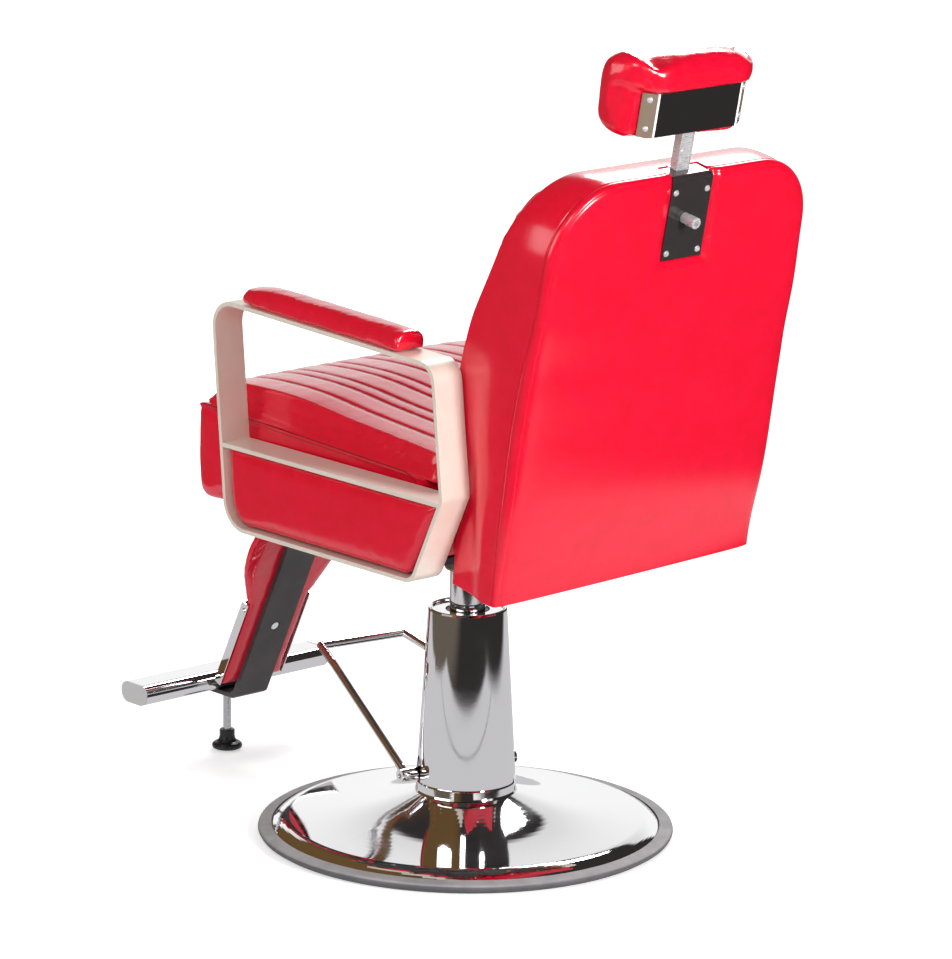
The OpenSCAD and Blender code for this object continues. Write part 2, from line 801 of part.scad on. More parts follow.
module side_panel(side) {
    low = 471.5;
    high = rail_z - 1.2;
    mid = (low + high) / 2;
    reach = (high - low) / 2;
    rows = [0, 2, 6, 12, 25, 45, 65, 85, 97, 103, 107, high - low];
    us = [-1, -0.97, -0.9, -0.7, -0.4, 0, 0.4, 0.7, 0.9, 0.97, 1];
    centre = function(z) (curve(panel_front, z) + curve(panel_back, z)) / 2;
    pts_half = function(z) (curve(panel_back, z) - curve(panel_front, z)) / 2;
    round = function(t) pow(max(0, 1 - pow(abs(t), 8)), 0.5);
    face = function(u, z) panel_edge - 5 + 5 * round(u) * round((z - mid) / reach)
        + panel_crown * (1 - u * u) * (1 - pow((z - mid) / reach, 2));
    nu = len(us);
    nv = len(rows);
    top = [for (r = rows, u = us) let (z = low + r) [face(u, z), centre(z) + u * pts_half(z), z]];
    low_pts = [for (r = rows, u = us) let (z = low + r) [panel_in, centre(z) + u * pts_half(z), z]];
    n = nu * nv;
    rim = concat([for (i = [0:nu - 1]) i], [for (j = [1:nv - 1]) j * nu + nu - 1],
        [for (i = [nu - 2:-1:0]) (nv - 1) * nu + i], [for (j = [nv - 2:-1:1]) j * nu]);
    nr = len(rim);
    color(cherry)
        each_side(side)
            polyhedron(concat(top, low_pts), concat(
                [for (j = [0:nv - 2], i = [0:nu - 2], h = [0, 1]) let (a = j * nu + i)
                    h == 0 ? [a, a + nu, a + 1] : [a + 1, a + nu, a + nu + 1]],
                [for (j = [0:nv - 2], i = [0:nu - 2], h = [0, 1]) let (a = n + j * nu + i)
                    h == 0 ? [a, a + 1, a + nu] : [a + 1, a + nu + 1, a + nu]],
                [for (k = [0:nr - 1], h = [0, 1]) let (a = rim[k], b = rim[(k + 1) % nr])
                    h == 0 ? [a, b, n + a] : [b, n + b, n + a]]));
}

arm_top_dir = unit(arm_corners[3] - arm_corners[4]);
arm_top_angle = atan2(arm_top_dir[1], arm_top_dir[0]);

// Places children on the arm's top bar, depth along local Y from the pad's front end
module on_arm_top(side) {
    each_side(side)
        translate([arm_in + arm_w / 2, arm_corners[4][0], arm_corners[4][1]])
            rotate([arm_top_angle, 0, 0])
                children();
}

module arm_pad(side) {
    front = arm_pad_front - arm_corners[4][0];
    back = arm_pad_back - arm_corners[4][0];
    low = soft_gap;
    long = back - front;
    us = [-1, -0.97, -0.88, -0.7, -0.35, 0, 0.35, 0.7, 0.88, 0.97, 1];
    vs = [for (t = [0, 0.01, 0.025, 0.05, 0.1, 0.2, 0.35, 0.55, 0.75, 0.88, 0.95, 0.98, 0.99, 1]) front + long * t];
    tall = function(v) arm_pad_t * (0.84 + 0.16 * smooth(front, front + 50, v))
        * (1 - 0.28 * (1 - smooth(front, front + 9, v))) * (1 - 0.1 * smooth(back - 5, back, v));
    face = function(u, v) low + tall(v) * (1 - 0.36 * pow(abs(u), 6)) - 1.5 * u * u;
    half = function(v) (arm_w / 2 + 1.5) * (1 - 0.22 * (1 - smooth(front, front + 36, v)))
        - 1.5 * smooth(back - 4, back, v);
    color(cherry)
        on_arm_top(side)
            padded_slab(us, vs, half, face, function(v) low, 1, 1.5);
}

module arm_pad_screws() {
    color(chrome)
        for (side = [-1, 1], d = [110, 350])
            on_arm_top(side)
                translate([0, d, -arm_t - seat_gap - screw_head_t])
                    cylinder(r = 5, h = screw_head_t, $fn = 32);
}

// ---------------------------------------------------------------- legrest

// Local frame on the rear face of the legrest channel: Z up the slope, -Y towards the shins
module leg_frame() {
    translate([0, leg_y, leg_z])
        rotate([-leg_lean, 0, 0])
            children();
}

function leg_rear_y(z) = leg_y + (z - leg_z) * tan(leg_lean);

module legrest_channel() {
    top_z = pan_low - seat_gap;
    web_n = channel_t / cos(leg_lean);
    w = channel_wall / cos(leg_lean);
    under = -120;
    nose = -574;
    half = channel_w / 2;
    foot_top = bracket_z + bracket_t;
    front_y = function(z) leg_rear_y(z) - web_n;
    outer = [[under, top_z - channel_t], [leg_rear_y(top_z - channel_t), top_z - channel_t],
        [leg_rear_y(bracket_z + 4), bracket_z + 4], [leg_rear_y(bracket_z) - 4, bracket_z], [nose + 6, bracket_z],
        [nose, foot_top], [front_y(foot_top) - 4, foot_top], [front_y(foot_top + 6), foot_top + 6],
        [front_y(top_z), top_z], [under, top_z]];
    color(charcoal)
        difference() {
            across(-half, half)
                polygon(outer);
            across(-half + channel_wall, half - channel_wall)
                polygon([[leg_rear_y(foot_top + 14) - w, foot_top + 14], [front_y(foot_top + 14) - 10, foot_top + 14],
                    [front_y(top_z - 16) - 10, top_z - 16], [leg_rear_y(top_z - 16) - w, top_z - 16]]);
            leg_frame()
                translate([0, 1, -3])
                    rotate([90, 0, 0])
                        cylinder(r = 8, h = 8, $fn = 48);
            translate([0, stem_y, bracket_z - 1])
                cylinder(r = stem_r + run_fit, h = bracket_t + 2, $fn = 64);
            for (y = [-260, -160])
                translate([0, y, top_z - channel_t - 1])
                    cylinder(r = 5.5, h = channel_t + 2, $fn = 48);
        }
}

module channel_screws() {
    top_z = pan_low - seat_gap;
    color(chrome) {
        leg_frame()
            translate([0, -0.5, -3])
                rotate([90, 0, 0])
                    union() {
                        cylinder(r = 6.5, h = 3, $fn = 48);
                        cylinder(r = 3, h = channel_t - 0.6, $fn = 32);
                    }
        for (y = [-260, -160])
            translate([0, y, top_z - channel_t - 5.2]) {
                cylinder(r = 8.5, h = 5, $fn = 6);
                cylinder(r = 5, h = channel_t + 5, $fn = 48);
            }
    }
}

// Half width of the legrest pad along its slope: narrow at the shins, flared to a shoulder at the top
leg_half_line = [[-116, 57], [-60, 57.5], [0, 58], [30, 58.8], [42, 58.8], [50, 64.5], [62, 70], [80, 78], [98, 86], [116, 91],
    [134, 93], [154, 93], [174, 89], [192, 81], [205, 71]];

module legrest_pad() {
    back = channel_t + soft_gap;
    under_kick = kick_front - kick_t - soft_gap - back;
    us = [-1, -0.97, -0.88, -0.6, 0, 0.6, 0.88, 0.97, 1];
    vs = concat([-116, -113, -106, -90], [for (q = leg_half_line) if (q[0] > -80 && q[0] < 200) q[0]], [199, 205]);
    shy = function(v) 1 - smooth(leg_low, leg_low + 12, v) + smooth(leg_high - 14, leg_high, v);
    thick = function(v) mix(under_kick, leg_pad_t, smooth(kick_high + 2, kick_high + 40, v));
    face = function(u, v) back + thick(v) - mix(1, 11, smooth(kick_high, kick_high + 40, v)) * pow(abs(u), 5)
        - 6 * pow(shy(v), 2);
    color(cherry)
        leg_frame()
            rotate([90, 0, 0])
                padded_slab(us, vs, function(v) curve(leg_half_line, v), face, function(v) back, 0.5, 1);
}

module kick_plate() {
    low = leg_low + 4;
    color(chrome)
        leg_frame()
            difference() {
                translate([-kick_half, -kick_front, low])
                    cube([2 * kick_half, kick_front - kick_back, kick_high - low]);
                translate([-kick_half + kick_t, -kick_front + kick_t, low - 1])
                    cube([2 * (kick_half - kick_t), 30, kick_high - low + 2]);
            }
}

module kick_screws() {
    color(chrome)
        leg_frame()
            for (side = [-1, 1], s = [-99, 27])
                translate([side * (kick_half + 0.1), -15.4, s])
                    rotate([0, 90 * side, 0])
                        cylinder(r = 4, h = 1.8, $fn = 32);
}

// Section of the footrest bar: flat top, rounded belly
function foot_section(t) = inset([[foot_y - foot_d / 2, foot_low_z], [foot_y + foot_d / 2, foot_low_z],
    [foot_y + foot_d / 2, foot_low_z + foot_h], [foot_y - foot_d / 2, foot_low_z + foot_h]], t);

module footrest_bar() {
    color(chrome)
        difference() {
            across(-foot_half + 3, foot_half - 3)
                round_outline(foot_section(0), [15, 15, 12, 12]);
            across(-foot_half, foot_half)
                round_outline(foot_section(foot_wall), [13, 13, 10, 10]);
            translate([0, stem_y, foot_low_z - 1])
                cylinder(r = stem_r + 2, h = 8, $fn = 48);
        }
}

module footrest_caps() {
    color("Gainsboro")
        for (side = [-1, 1])
            each_side(side)
                union() {
                    across(foot_half - 3 + 0.1, foot_half)
                        round_outline(foot_section(0), [15, 15, 12, 12]);
                    across(foot_half - 12, foot_half - 2)
                        round_outline(foot_section(foot_wall + 0.2), [12.8, 12.8, 9.8, 9.8]);
                }
}

module foot_lock_nut() {
    color(charcoal)
        translate([0, stem_y, bracket_z - seat_gap - 8])
            difference() {
                cylinder(r = 12, h = 8, $fn = 6);
                translate([0, 0, -1])
                    cylinder(r = stem_r + run_fit, h = 10, $fn = 64);
            }
}

module foot_stem() {
    color(chrome)
        translate([0, stem_y, 24])
            cylinder(r = stem_r, h = bracket_z + bracket_t + 4 - 24, $fn = 64);
}

module foot_pad() {
    color("Black")
        translate([0, stem_y, 2])
            rotate_extrude($fn = 96)
                polygon([[0, 0], [19, 0], [22, 1.5], [23, 4], [22.5, 7], [20, 9.5], [15, 11.5], [12.5, 15],
                    [11.5, 20], [11.5, 29], [10.5, 30], [stem_r + 0.1, 30], [stem_r + 0.1, 21.8], [0, 21.8]]);
}

// ---------------------------------------------------------------- back hinge

module hinge_brackets() {
    color(charcoal)
        for (side = [-1, 1], k = [-1, 1])
            translate([side * hinge_x + k * (ear_gap + ear_t) / 2 - ear_t / 2, 0, 0])
                difference() {
                    across(0, ear_t)
                        union() {
                            polygon([[60, pan_low - seat_gap - 6], [182, pan_low - seat_gap - 6],
                                [hinge_y + 5, hinge_z - 10], [hinge_y, hinge_z + 4],
                                [hinge_y - 11, hinge_z + 3], [179, 479], [179, pan_low - seat_gap],
                                [60, pan_low - seat_gap]]);
                            translate([hinge_y, hinge_z])
                                circle(r = ear_r, $fn = 64);
                        }
                    translate([-1, hinge_y, hinge_z])
                        rotate([0, 90, 0])
                            cylinder(r = hinge_r + run_fit, h = ear_t + 2, $fn = 64);
                }
}

module hinge_pins() {
    grip = ear_gap + 2 * ear_t + 1;
    color(chrome)
        for (side = [-1, 1])
            translate([side * hinge_x - grip / 2, hinge_y, hinge_z])
                rotate([0, 90, 0])
                    union() {
                        cylinder(r = hinge_r, h = grip, $fn = 64);
                        for (e = [-4, grip])
                            translate([0, 0, e])
                                cylinder(r = hinge_r + 4, h = 4, $fn = 64);
                    }
}

// ---------------------------------------------------------------- back

back_rear_line = [[447, 318], [520, 328], [590, 340], [700, 358], [782, 375], [853, 397], [940, 413], [1001, 429],
    [1041, 440]];
back_front_line = [[447, 222], [470, 225], [600, 231], [700, 236], [760, 239], [785, 247], [837, 270], [896, 303],
    [946, 329], [1011, 361], [1041, 372]];

// The lines' own heights, and how they stretch with the back
line_low = back_rear_line[0][0];
line_long = back_rear_line[len(back_rear_line) - 1][0] - line_low;
function to_back(z) = back_low + (z - line_low) * (back_top - back_low) / line_long;
function to_line(z) = line_low + (z - back_low) * line_long / (back_top - back_low);
function back_rear(z) = curve(back_rear_line, to_line(z));
function back_front(z) = curve(back_front_line, to_line(z));
function back_width(z) = let (
    body = back_half - 4.5 + 4.5 * smooth(590, 690, to_line(z)) + 4 * smooth(795, 850, to_line(z)),
    d = z - (back_top - back_corner))
    d <= 0 ? body : body - back_corner + sqrt(max(0, back_corner * back_corner - d * d));

// The rear face: [fraction of the half width, fraction of the crown], rounding over from the side seam
crown_line = [[1, 0.04], [0.992, 0.34], [0.965, 0.6], [0.89, 0.78], [0.7, 0.9], [0.38, 0.97], [0, 1]];

function shell_ring(z, slim) = let (
    w = back_width(z) - slim,
    y0 = back_front(z) + back_skin + slim,
    y1 = back_rear(z) - slim,
    n = len(crown_line) - 1,
    crown = back_crown * (0.22 + 0.78 * smooth(line_low, 720, to_line(z))),
    tilt = 0.12 * (1 - smooth(back_low + 4, back_low + 50, z)))
    [for (p = concat([[-w + 3, y0], [w - 3, y0], [w, y0 + 5], [w, mix(y0, y1, 0.5)]],
        [for (i = [0:2 * n]) let (q = crown_line[i <= n ? i : 2 * n - i])
            [(i <= n ? 1 : -1) * q[0] * w, y1 + crown * q[1]]],
        [[-w, mix(y0, y1, 0.5)], [-w, y0 + 5]])) [p[0], p[1], z + tilt * max(0, y1 - p[1])]];

module back_shell() {
    arc = [for (a = [0:10:60]) back_top - back_corner + back_corner * sin(a)];
    rows = [457, 470, 500, 545, 600, 650, 700, 730, 760, 785, 810, 837, 866, 896];
    zs = concat([back_low, back_low + 3], [for (z = rows) to_back(z)], arc,
        [back_top - 8, back_top - 2.5, back_top]);
    n = len(zs);
    slims = [for (i = [0:n - 1]) i == 0 ? 3 : i == 1 ? 1 : i == n - 2 ? 3 : i == n - 1 ? 9 : 0];
    fit = 0.4;
    color(cherry)
        difference() {
            ring_skin([for (i = [0:n - 1]) shell_ring(zs[i], slims[i])]);
            plate_frame() {
                translate([-plate_w / 2 - 1, -plate_t3 - seat_gap, -1])
                    cube([plate_w + 2, 60, plate_h + 60]);
                translate([-plate_w / 2 - 1, -plate_flange - 2, plate_h - 12])
                    cube([plate_w + 2, plate_flange + 40, 60]);
                translate([-post_w / 2 - socket_wall - 1, post_back - post_d - socket_wall - 1, socket_low - 1])
                    cube([post_w + 2 * socket_wall + 2, -post_back + post_d + socket_wall, 300]);
            }
            for (side = [-1, 1])
                translate([side * hinge_x - iron_t / 2 - 1, 200, hinge_z - 22])
                    cube([iron_t + 2, 72, 172]);
        }
}

module back_cushion() {
    low = back_low + 10;
    high = back_top - 6;
    half_w = back_half - 2;
    rows = [470, 500, 545, 600, 650, 700, 730, 760, 785, 810, 837, 866, 896, 946, 985, 1011, 1024];
    zs = concat([low, low + 3], [for (z = rows) to_back(z)], [high - 3, high]);
    us = seam_columns(half_w);
    ends = function(z) clamp(1 - smooth(low, low + 22, z) + smooth(high - 32, high, z), 0, 1);
    swell = function(u, z) (1 - ends(z)) * (mix(3, 13, smooth(640, 740, to_line(z))) * (1 - pow(abs(u), 4)));
    roll = function(u) 3 * pow(clamp((abs(u) - 0.9) / 0.1, 0, 1), 2.5);
    half = function(z) back_width(z) - 1 - 3 * pow(ends(z), 2);
    front_y = function(u, z) back_front(z) + 2 * pow(ends(z), 2) + roll(u) - swell(u, z)
        + 0.8 * seam_dip(u * half_w) * (1 - ends(z));
    rear_y = function(z) back_front(z) + back_skin - soft_gap - 0.4 - 1.5 * (1 - smooth(470, 500, to_line(z)));
    nu = len(us);
    nv = len(zs);
    n = nu * nv;
    front = [for (z = zs, u = us) [u * half(z), front_y(u, z), z]];
    rim = concat([for (i = [0:nu - 1]) i], [for (j = [1:nv - 1]) j * nu + nu - 1],
        [for (i = [nu - 2:-1:0]) (nv - 1) * nu + i], [for (j = [nv - 2:-1:1]) j * nu]);
    nr = len(rim);
    rear = [for (i = rim) [front[i][0], rear_y(front[i][2]), front[i][2]]];
    left = function(j) j == 0 ? n : n + nr - j;
    right = function(j) n + nu - 1 + j;
    color(cherry)
        difference() {
            polyhedron(concat(front, rear), concat(
                [for (j = [0:nv - 2], i = [0:nu - 2], h = [0, 1]) let (a = j * nu + i)
                    h == 0 ? [a, a + nu, a + 1] : [a + 1, a + nu, a + nu + 1]],
                [for (i = [0:nu - 2]) [n + i, n + i + 1, left(1)]],
                [for (i = [0:nu - 2]) let (t = right(nv - 1)) [t + i + 1, right(nv - 2), t + i]],
                [[right(0), right(1), left(1)], [left(nv - 1), left(nv - 2), right(nv - 2)]],
                [for (j = [1:nv - 3], h = [0, 1]) h == 0 ? [left(j), right(j), left(j + 1)]
                    : [right(j), right(j + 1), left(j + 1)]],
                [for (k = [0:nr - 1], h = [0, 1]) let (a = rim[k], b = rim[(k + 1) % nr])
                    h == 0 ? [a, b, n + k] : [b, n + (k + 1) % nr, n + k]]));
            for (side = [-1, 1])
                translate([side * hinge_x - iron_t / 2 - 1, 190, hinge_z - 22])
                    cube([iron_t + 2, 90, 44]);
        }
}

module back_irons() {
    up = 620;
    color(charcoal)
        for (side = [-1, 1])
            translate([side * hinge_x - iron_t / 2, 0, 0])
                difference() {
                    across(0, iron_t)
                        union() {
                            translate([hinge_y, hinge_z])
                                circle(r = 13, $fn = 64);
                            polygon([[hinge_y, hinge_z - 13], [270, hinge_z - 13], [270, up],
                                [252, up], [250, hinge_z + 13], [hinge_y, hinge_z + 13]]);
                        }
                    translate([-1, hinge_y, hinge_z])
                        rotate([0, 90, 0])
                            cylinder(r = hinge_r + run_fit, h = iron_t + 2, $fn = 64);
                }
}

// Local frame on the rear face of the back plate: Z up the plate, +Y out of the back
module plate_frame() {
    plate_z = back_top - plate_below_top;
    translate([0, back_rear(plate_z) + back_crown - plate_below_crown, plate_z])
        rotate([-plate_lean, 0, 0])
            children();
}

module back_plate() {
    r = plate_bend;
    slot = post_w / 2 + socket_wall + 0.4 + seat_gap;
    color("Black")
        plate_frame()
            difference() {
                translate([-plate_w / 2, 0, 0])
                    rotate([90, 0, 90])
                        linear_extrude(plate_w)
                            difference() {
                                union() {
                                    translate([-r, 0])
                                        square([r, plate_h - r]);
                                    translate([-plate_flange, plate_h - r - 1])
                                        square([plate_flange - r, r + 1]);
                                    translate([-r, plate_h - r])
                                        circle(r = r, $fn = 96);
                                }
                                translate([-plate_flange - 1, -1])
                                    square([plate_flange + 1 - plate_t3, plate_h - r + 1]);
                                translate([-plate_flange - 1, plate_h - r - 2])
                                    square([plate_flange + 1 - r, r + 2 - plate_t3]);
                                translate([-r, plate_h - r])
                                    circle(r = r - plate_t3, $fn = 96);
                            }
                translate([-slot, -plate_flange - 1, plate_h - plate_t3 - 1])
                    cube([2 * slot, plate_flange + 1 + post_back + socket_wall + 0.4 + seat_gap, plate_t3 + 2]);
                for (x = [-29, 29], z = [10, 98])
                    translate([x, -plate_t3 - 1, z])
                        rotate([-90, 0, 0])
                            cylinder(r = 2.6, h = plate_t3 + 2, $fn = 32);
                translate([knob_x, -plate_t3 - 1, knob_z])
                    rotate([-90, 0, 0])
                        cylinder(r = 4 + run_fit, h = plate_t3 + 2, $fn = 48);
            }
}

module back_plate_screws() {
    color(chrome)
        plate_frame()
            for (x = [-29, 29], z = [10, 98])
                translate([x, 0.1, z])
                    rotate([-90, 0, 0])
                        union() {
                            cylinder(r1 = screw_head_r, r2 = screw_head_r - 1.6, h = screw_head_t, $fn = 32);
                            translate([0, 0, -plate_t3])
                                cylinder(r = 2.5, h = plate_t3 + 1, $fn = 32);
                        }
}

module post_socket() {
    fit = 0.4;
    color(charcoal)
        plate_frame()
            difference() {
                translate([-post_w / 2 - socket_wall - fit, post_back - post_d - socket_wall - fit, socket_low])
                    cube([post_w + 2 * (socket_wall + fit), post_d + 2 * (socket_wall + fit),
                        plate_h + 1 - socket_low]);
                translate([-post_w / 2 - fit, post_back - post_d - fit, socket_low - 1])
                    cube([post_w + 2 * fit, post_d + 2 * fit, 300]);
                translate([knob_x, post_back - 2, knob_z])
                    rotate([-90, 0, 0])
                        cylinder(r = 4 + run_fit, h = 20, $fn = 48);
            }
}

module index_knob() {
    color(chrome)
        plate_frame()
            translate([knob_x, 0.2, knob_z])
                rotate([-90, 0, 0])
                    difference() {
                        union() {
                            cylinder(r = 7.5, h = 7.5, $fn = 64);
                            cylinder(r = 6.3, h = 10, $fn = 64);
                            translate([0, 0, 9])
                                cylinder(r = 8, h = 15, $fn = 64);
                            translate([0, 0, 24])
                                cylinder(r1 = 8, r2 = 7.2, h = 1, $fn = 64);
                        }
                        translate([0, 0, 16])
                            cylinder(r = 4.2, h = 10, $fn = 32);
                    }
}

module index_pin() {
    color(chrome)
        plate_frame()
            translate([knob_x, post_back - 2 + 0.3, knob_z])
                rotate([-90, 0, 0])
                    cylinder(r = 4, h = -post_back + 2 - 0.3 + 0.2, $fn = 48);
}

// ---------------------------------------------------------------- headrest

module headrest_post() {
    low = -46;
    top = head_plate_low + head_plate_h - 6;
    groove_w = 20.4;
    color(chrome)
        plate_frame()
            difference() {
                translate([-post_w / 2, post_back - post_d, low])
                    cube([post_w, post_d, top - low]);
                translate([-groove_w / 2, post_back - 2, low - 1])
                    cube([groove_w, 10, top - low + 2]);
                for (k = [-3:6])
                    translate([knob_x, post_back - 3.5, knob_z + 15 * k])
                        rotate([-90, 0, 0])
                            cylinder(r = 4.5, h = 4, $fn = 32);
            }
}

module headrest_plate() {
    t = head_plate_t;
    low = head_plate_low;
    block = post_back + seat_gap;
    tip = flange_len * [cos(flange_turn), -sin(flange_turn)];
    right = [[head_plate_half - t * tan(flange_turn / 2), -t],
        [head_plate_half + tip[0] - t * sin(flange_turn), tip[1] - t * cos(flange_turn)],
        [head_plate_half + tip[0], tip[1]], [head_plate_half, 0]];
    color(chrome)
        plate_frame()
            union() {
                translate([0, head_plate_back, low])
                    linear_extrude(head_plate_h)
                        polygon(concat(right, [for (k = [3:-1:0]) [-right[k][0], right[k][1]]]));
                translate([-post_w / 2, block, low + 4])
                    cube([post_w, head_plate_back - t - block + 0.5, head_plate_h - 14]);
            }
}

// The headrest pad's section along its length: distance from the middle, then rear face above the
// plate, rear face behind the plate, front face, top and bottom
head_line = [
    [0, -5, -17, -64, 293, 172], [40, -5, -17, -66, 291, 172], [66, -5, -17, -70, 287, 172],
    [78, -6, -17, -74, 283, 172], [88, -10, -24.5, -79, 282, 172], [98, -17, -31.5, -84, 285, 172],
    [108, -23, -31, -88, 286, 173], [118, -31, -36, -89, 282, 176], [125, -41, -44, -86, 274, 182],
    [129, -50, -52, -81, 265, 190], [131, -58, -59, -74, 254, 202]];

function head_ring(x, q) = let (
    yt = q[1], yp = q[2], yf = q[3], st = q[4], sb = q[5],
    round = min(1, (yt - yf) / 60), tall = min(1, (st - sb) / 110),
    mid = (yp + yf) / 2, edge = min(head_plate_low + head_plate_h, st - 34 * tall))
    [for (p = [[yp, sb + 6 * tall], [yp - 8 * round, sb], [mid, sb - 1], [yf + 14 * round, sb + 2 * tall],
        [yf + 4 * round, sb + 11 * tall], [yf, sb + 30 * tall], [yf, (st + sb) / 2], [yf + 2 * round, st - 30 * tall],
        [yf + 7 * round, st - 12 * tall], [yf + 20 * round, st - 2 * tall], [mid, st + 1], [yt - 22 * round, st],
        [yt - 8 * round, st - 4 * tall], [yt - 1, st - 14 * tall], [yt, edge + 11 * tall],
        [yt - 1.5, edge + 2.5 * tall], [yp, edge + 0.8]]) [x, p[0], p[1]]];

module headrest_pad() {
    n = len(head_line) - 1;
    k = head_half / head_line[n][0];
    grow = head_h / 120;
    color(cherry)
        plate_frame()
            difference() {
                ring_skin_x([for (i = [-n:n]) let (q = head_line[abs(i)])
                    [for (p = head_ring(sign(i) * q[0] * k, q))
                        [p[0], p[1], p[2] > 250 ? 250 + (p[2] - 250) * grow : p[2]]]]);
                translate([-post_w / 2 - 1, post_back - post_d - 1, head_low - 10])
                    cube([post_w + 2, 40, head_plate_low + head_plate_h - head_low + 8]);
            }
}

// Closed skin over rings that follow each other along X
module ring_skin_x(rings) {
    rotate([0, 90, 0])
        ring_skin([for (r = rings) [for (p = r) [-p[2], p[1], p[0]]]]);
}

base_shell();
base_trim();
ballast_plate();
column_collar();
pump_cover();
pump_body();
pump_bolts();
reservoir_tube();
cylinder_tube();
gland_nut();
wiper_seal();
plunger_spring();
pedal_shaft();
pedal_bar();
pump_crank();
pedal_grub_screws();
pump_plunger();
ram();
piston_seal();
swivel_washer();
swivel_hub();
hub_bolts();
seat_pan();
seat_box();
seat_cushion();
arm_loop(1);  // arm_loop_left
arm_loop(-1);  // arm_loop_right
arm_rail(1);  // arm_rail_left
arm_rail(-1);  // arm_rail_right
side_board(1);  // side_board_left
side_board(-1);  // side_board_right
side_panel(1);  // side_panel_left
side_panel(-1);  // side_panel_right
arm_pad(1);  // arm_pad_left
arm_pad(-1);  // arm_pad_right
arm_pad_screws();
legrest_channel();
channel_screws();
legrest_pad();
kick_plate();
kick_screws();
footrest_bar();
footrest_caps();
foot_lock_nut();
hinge_brackets();
hinge_pins();
foot_stem();
foot_pad();
back_shell();
back_cushion();
back_irons();
back_plate();
back_plate_screws();
post_socket();
index_knob();
index_pin();
headrest_post();
headrest_plate();
headrest_pad();
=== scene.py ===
import math

import bmesh
import bpy
import numpy as np
from mathutils import Matrix, Vector, noise


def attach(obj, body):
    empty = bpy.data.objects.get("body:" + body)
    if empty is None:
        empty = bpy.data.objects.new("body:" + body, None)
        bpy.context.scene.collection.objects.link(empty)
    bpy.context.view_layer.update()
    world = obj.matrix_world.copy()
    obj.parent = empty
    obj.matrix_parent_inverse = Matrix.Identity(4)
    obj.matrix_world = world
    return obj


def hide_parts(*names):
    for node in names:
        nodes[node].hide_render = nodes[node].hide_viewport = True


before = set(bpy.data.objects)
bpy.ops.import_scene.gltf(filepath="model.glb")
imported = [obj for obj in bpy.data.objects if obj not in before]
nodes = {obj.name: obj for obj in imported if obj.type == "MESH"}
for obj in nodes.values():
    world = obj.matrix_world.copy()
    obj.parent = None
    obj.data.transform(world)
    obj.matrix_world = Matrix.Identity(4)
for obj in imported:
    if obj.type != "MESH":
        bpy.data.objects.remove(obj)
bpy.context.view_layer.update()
scene = bpy.context.scene


# ---------------------------------------------------------------- camera
# The chair is seen from behind its left side, a little above the seat, through a long lens,
# so its verticals stay nearly parallel.

SENSOR, PICTURE_HEIGHT, FOCAL_PIXELS = 36, 959, 5649.4
EYE_DISTANCE, AIM_HEIGHT, AIM_ASIDE = 8.0777, 0.52598, 0.00994

azimuth, elevation, roll = (math.radians(a) for a in (138.233, 13.78, 0.621))
toward = Vector((math.sin(azimuth) * math.cos(elevation), -math.cos(azimuth) * math.cos(elevation),
                 math.sin(elevation)))
level = Vector((math.cos(azimuth), math.sin(azimuth), 0))
upright = toward.cross(level)
right = level * math.cos(roll) + upright * math.sin(roll)
up = upright * math.cos(roll) - level * math.sin(roll)
eye = Vector((0, 0, AIM_HEIGHT)) + right * AIM_ASIDE + toward * EYE_DISTANCE

camera = bpy.data.objects.new("camera", bpy.data.cameras.new("camera"))
scene.collection.objects.link(camera)
camera.data.lens = FOCAL_PIXELS * SENSOR / PICTURE_HEIGHT
camera.data.sensor_width = SENSOR
camera.data.clip_end = 60
camera.matrix_world = Matrix.Translation(eye) @ Matrix((right, up, toward)).transposed().to_4x4()
scene.camera = camera
scene.view_settings.view_transform = "Standard"


# ---------------------------------------------------------------- studio
# A white sweep under and behind the chair, large soft lamps, and a dark room on the camera's side,
# which is what the chrome shows between its white bands.

def add(tree, kind, values=None, **settings):
    """A shader node with its settings and its input values."""
    node = tree.nodes.new("ShaderNode" + kind)
    for key, value in settings.items():
        setattr(node, key, value)
    for key, value in (values or {}).items():
        node.inputs[key].default_value = value
    return node


def join(tree, *pairs):
    """Links each output to its input."""
    for out, into in zip(pairs[::2], pairs[1::2]):
        tree.links.new(out, into)


def span(tree, value, low, high, to_low=0.0, to_high=1.0):
    """The value spread smoothly from one range to another."""
    node = add(tree, "MapRange", {1: low, 2: high, 3: to_low, 4: to_high}, interpolation_type="SMOOTHSTEP")
    join(tree, value, node.inputs[0])
    return node.outputs[0]


def maths(tree, operation, a, b=0.0):
    """One sum on two values, each a number or another node's output."""
    node = add(tree, "Math", operation=operation)
    for socket, value in zip(node.inputs, (a, b)):
        if isinstance(value, (int, float)):
            socket.default_value = value
        else:
            join(tree, value, socket)
    return node.outputs[0]


def product(tree, first, *others):
    """Values multiplied with each other."""
    for other in others:
        first = maths(tree, "MULTIPLY", first, other)
    return first


def along_axis(tree, vector, axis):
    """How far a vector reaches along an axis."""
    node = add(tree, "VectorMath", {1: axis}, operation="DOT_PRODUCT")
    join(tree, vector, node.inputs[0])
    return node.outputs["Value"]


ROOM = (0.030, 0.026, 0.026, 1)
ROOM_LEFT = (0.13, 0.075, 0.028, 1)
WHITE = (1, 1, 1, 1)
AMBIENT = 0.40
facing = Vector((toward.x, toward.y, 0)).normalized()

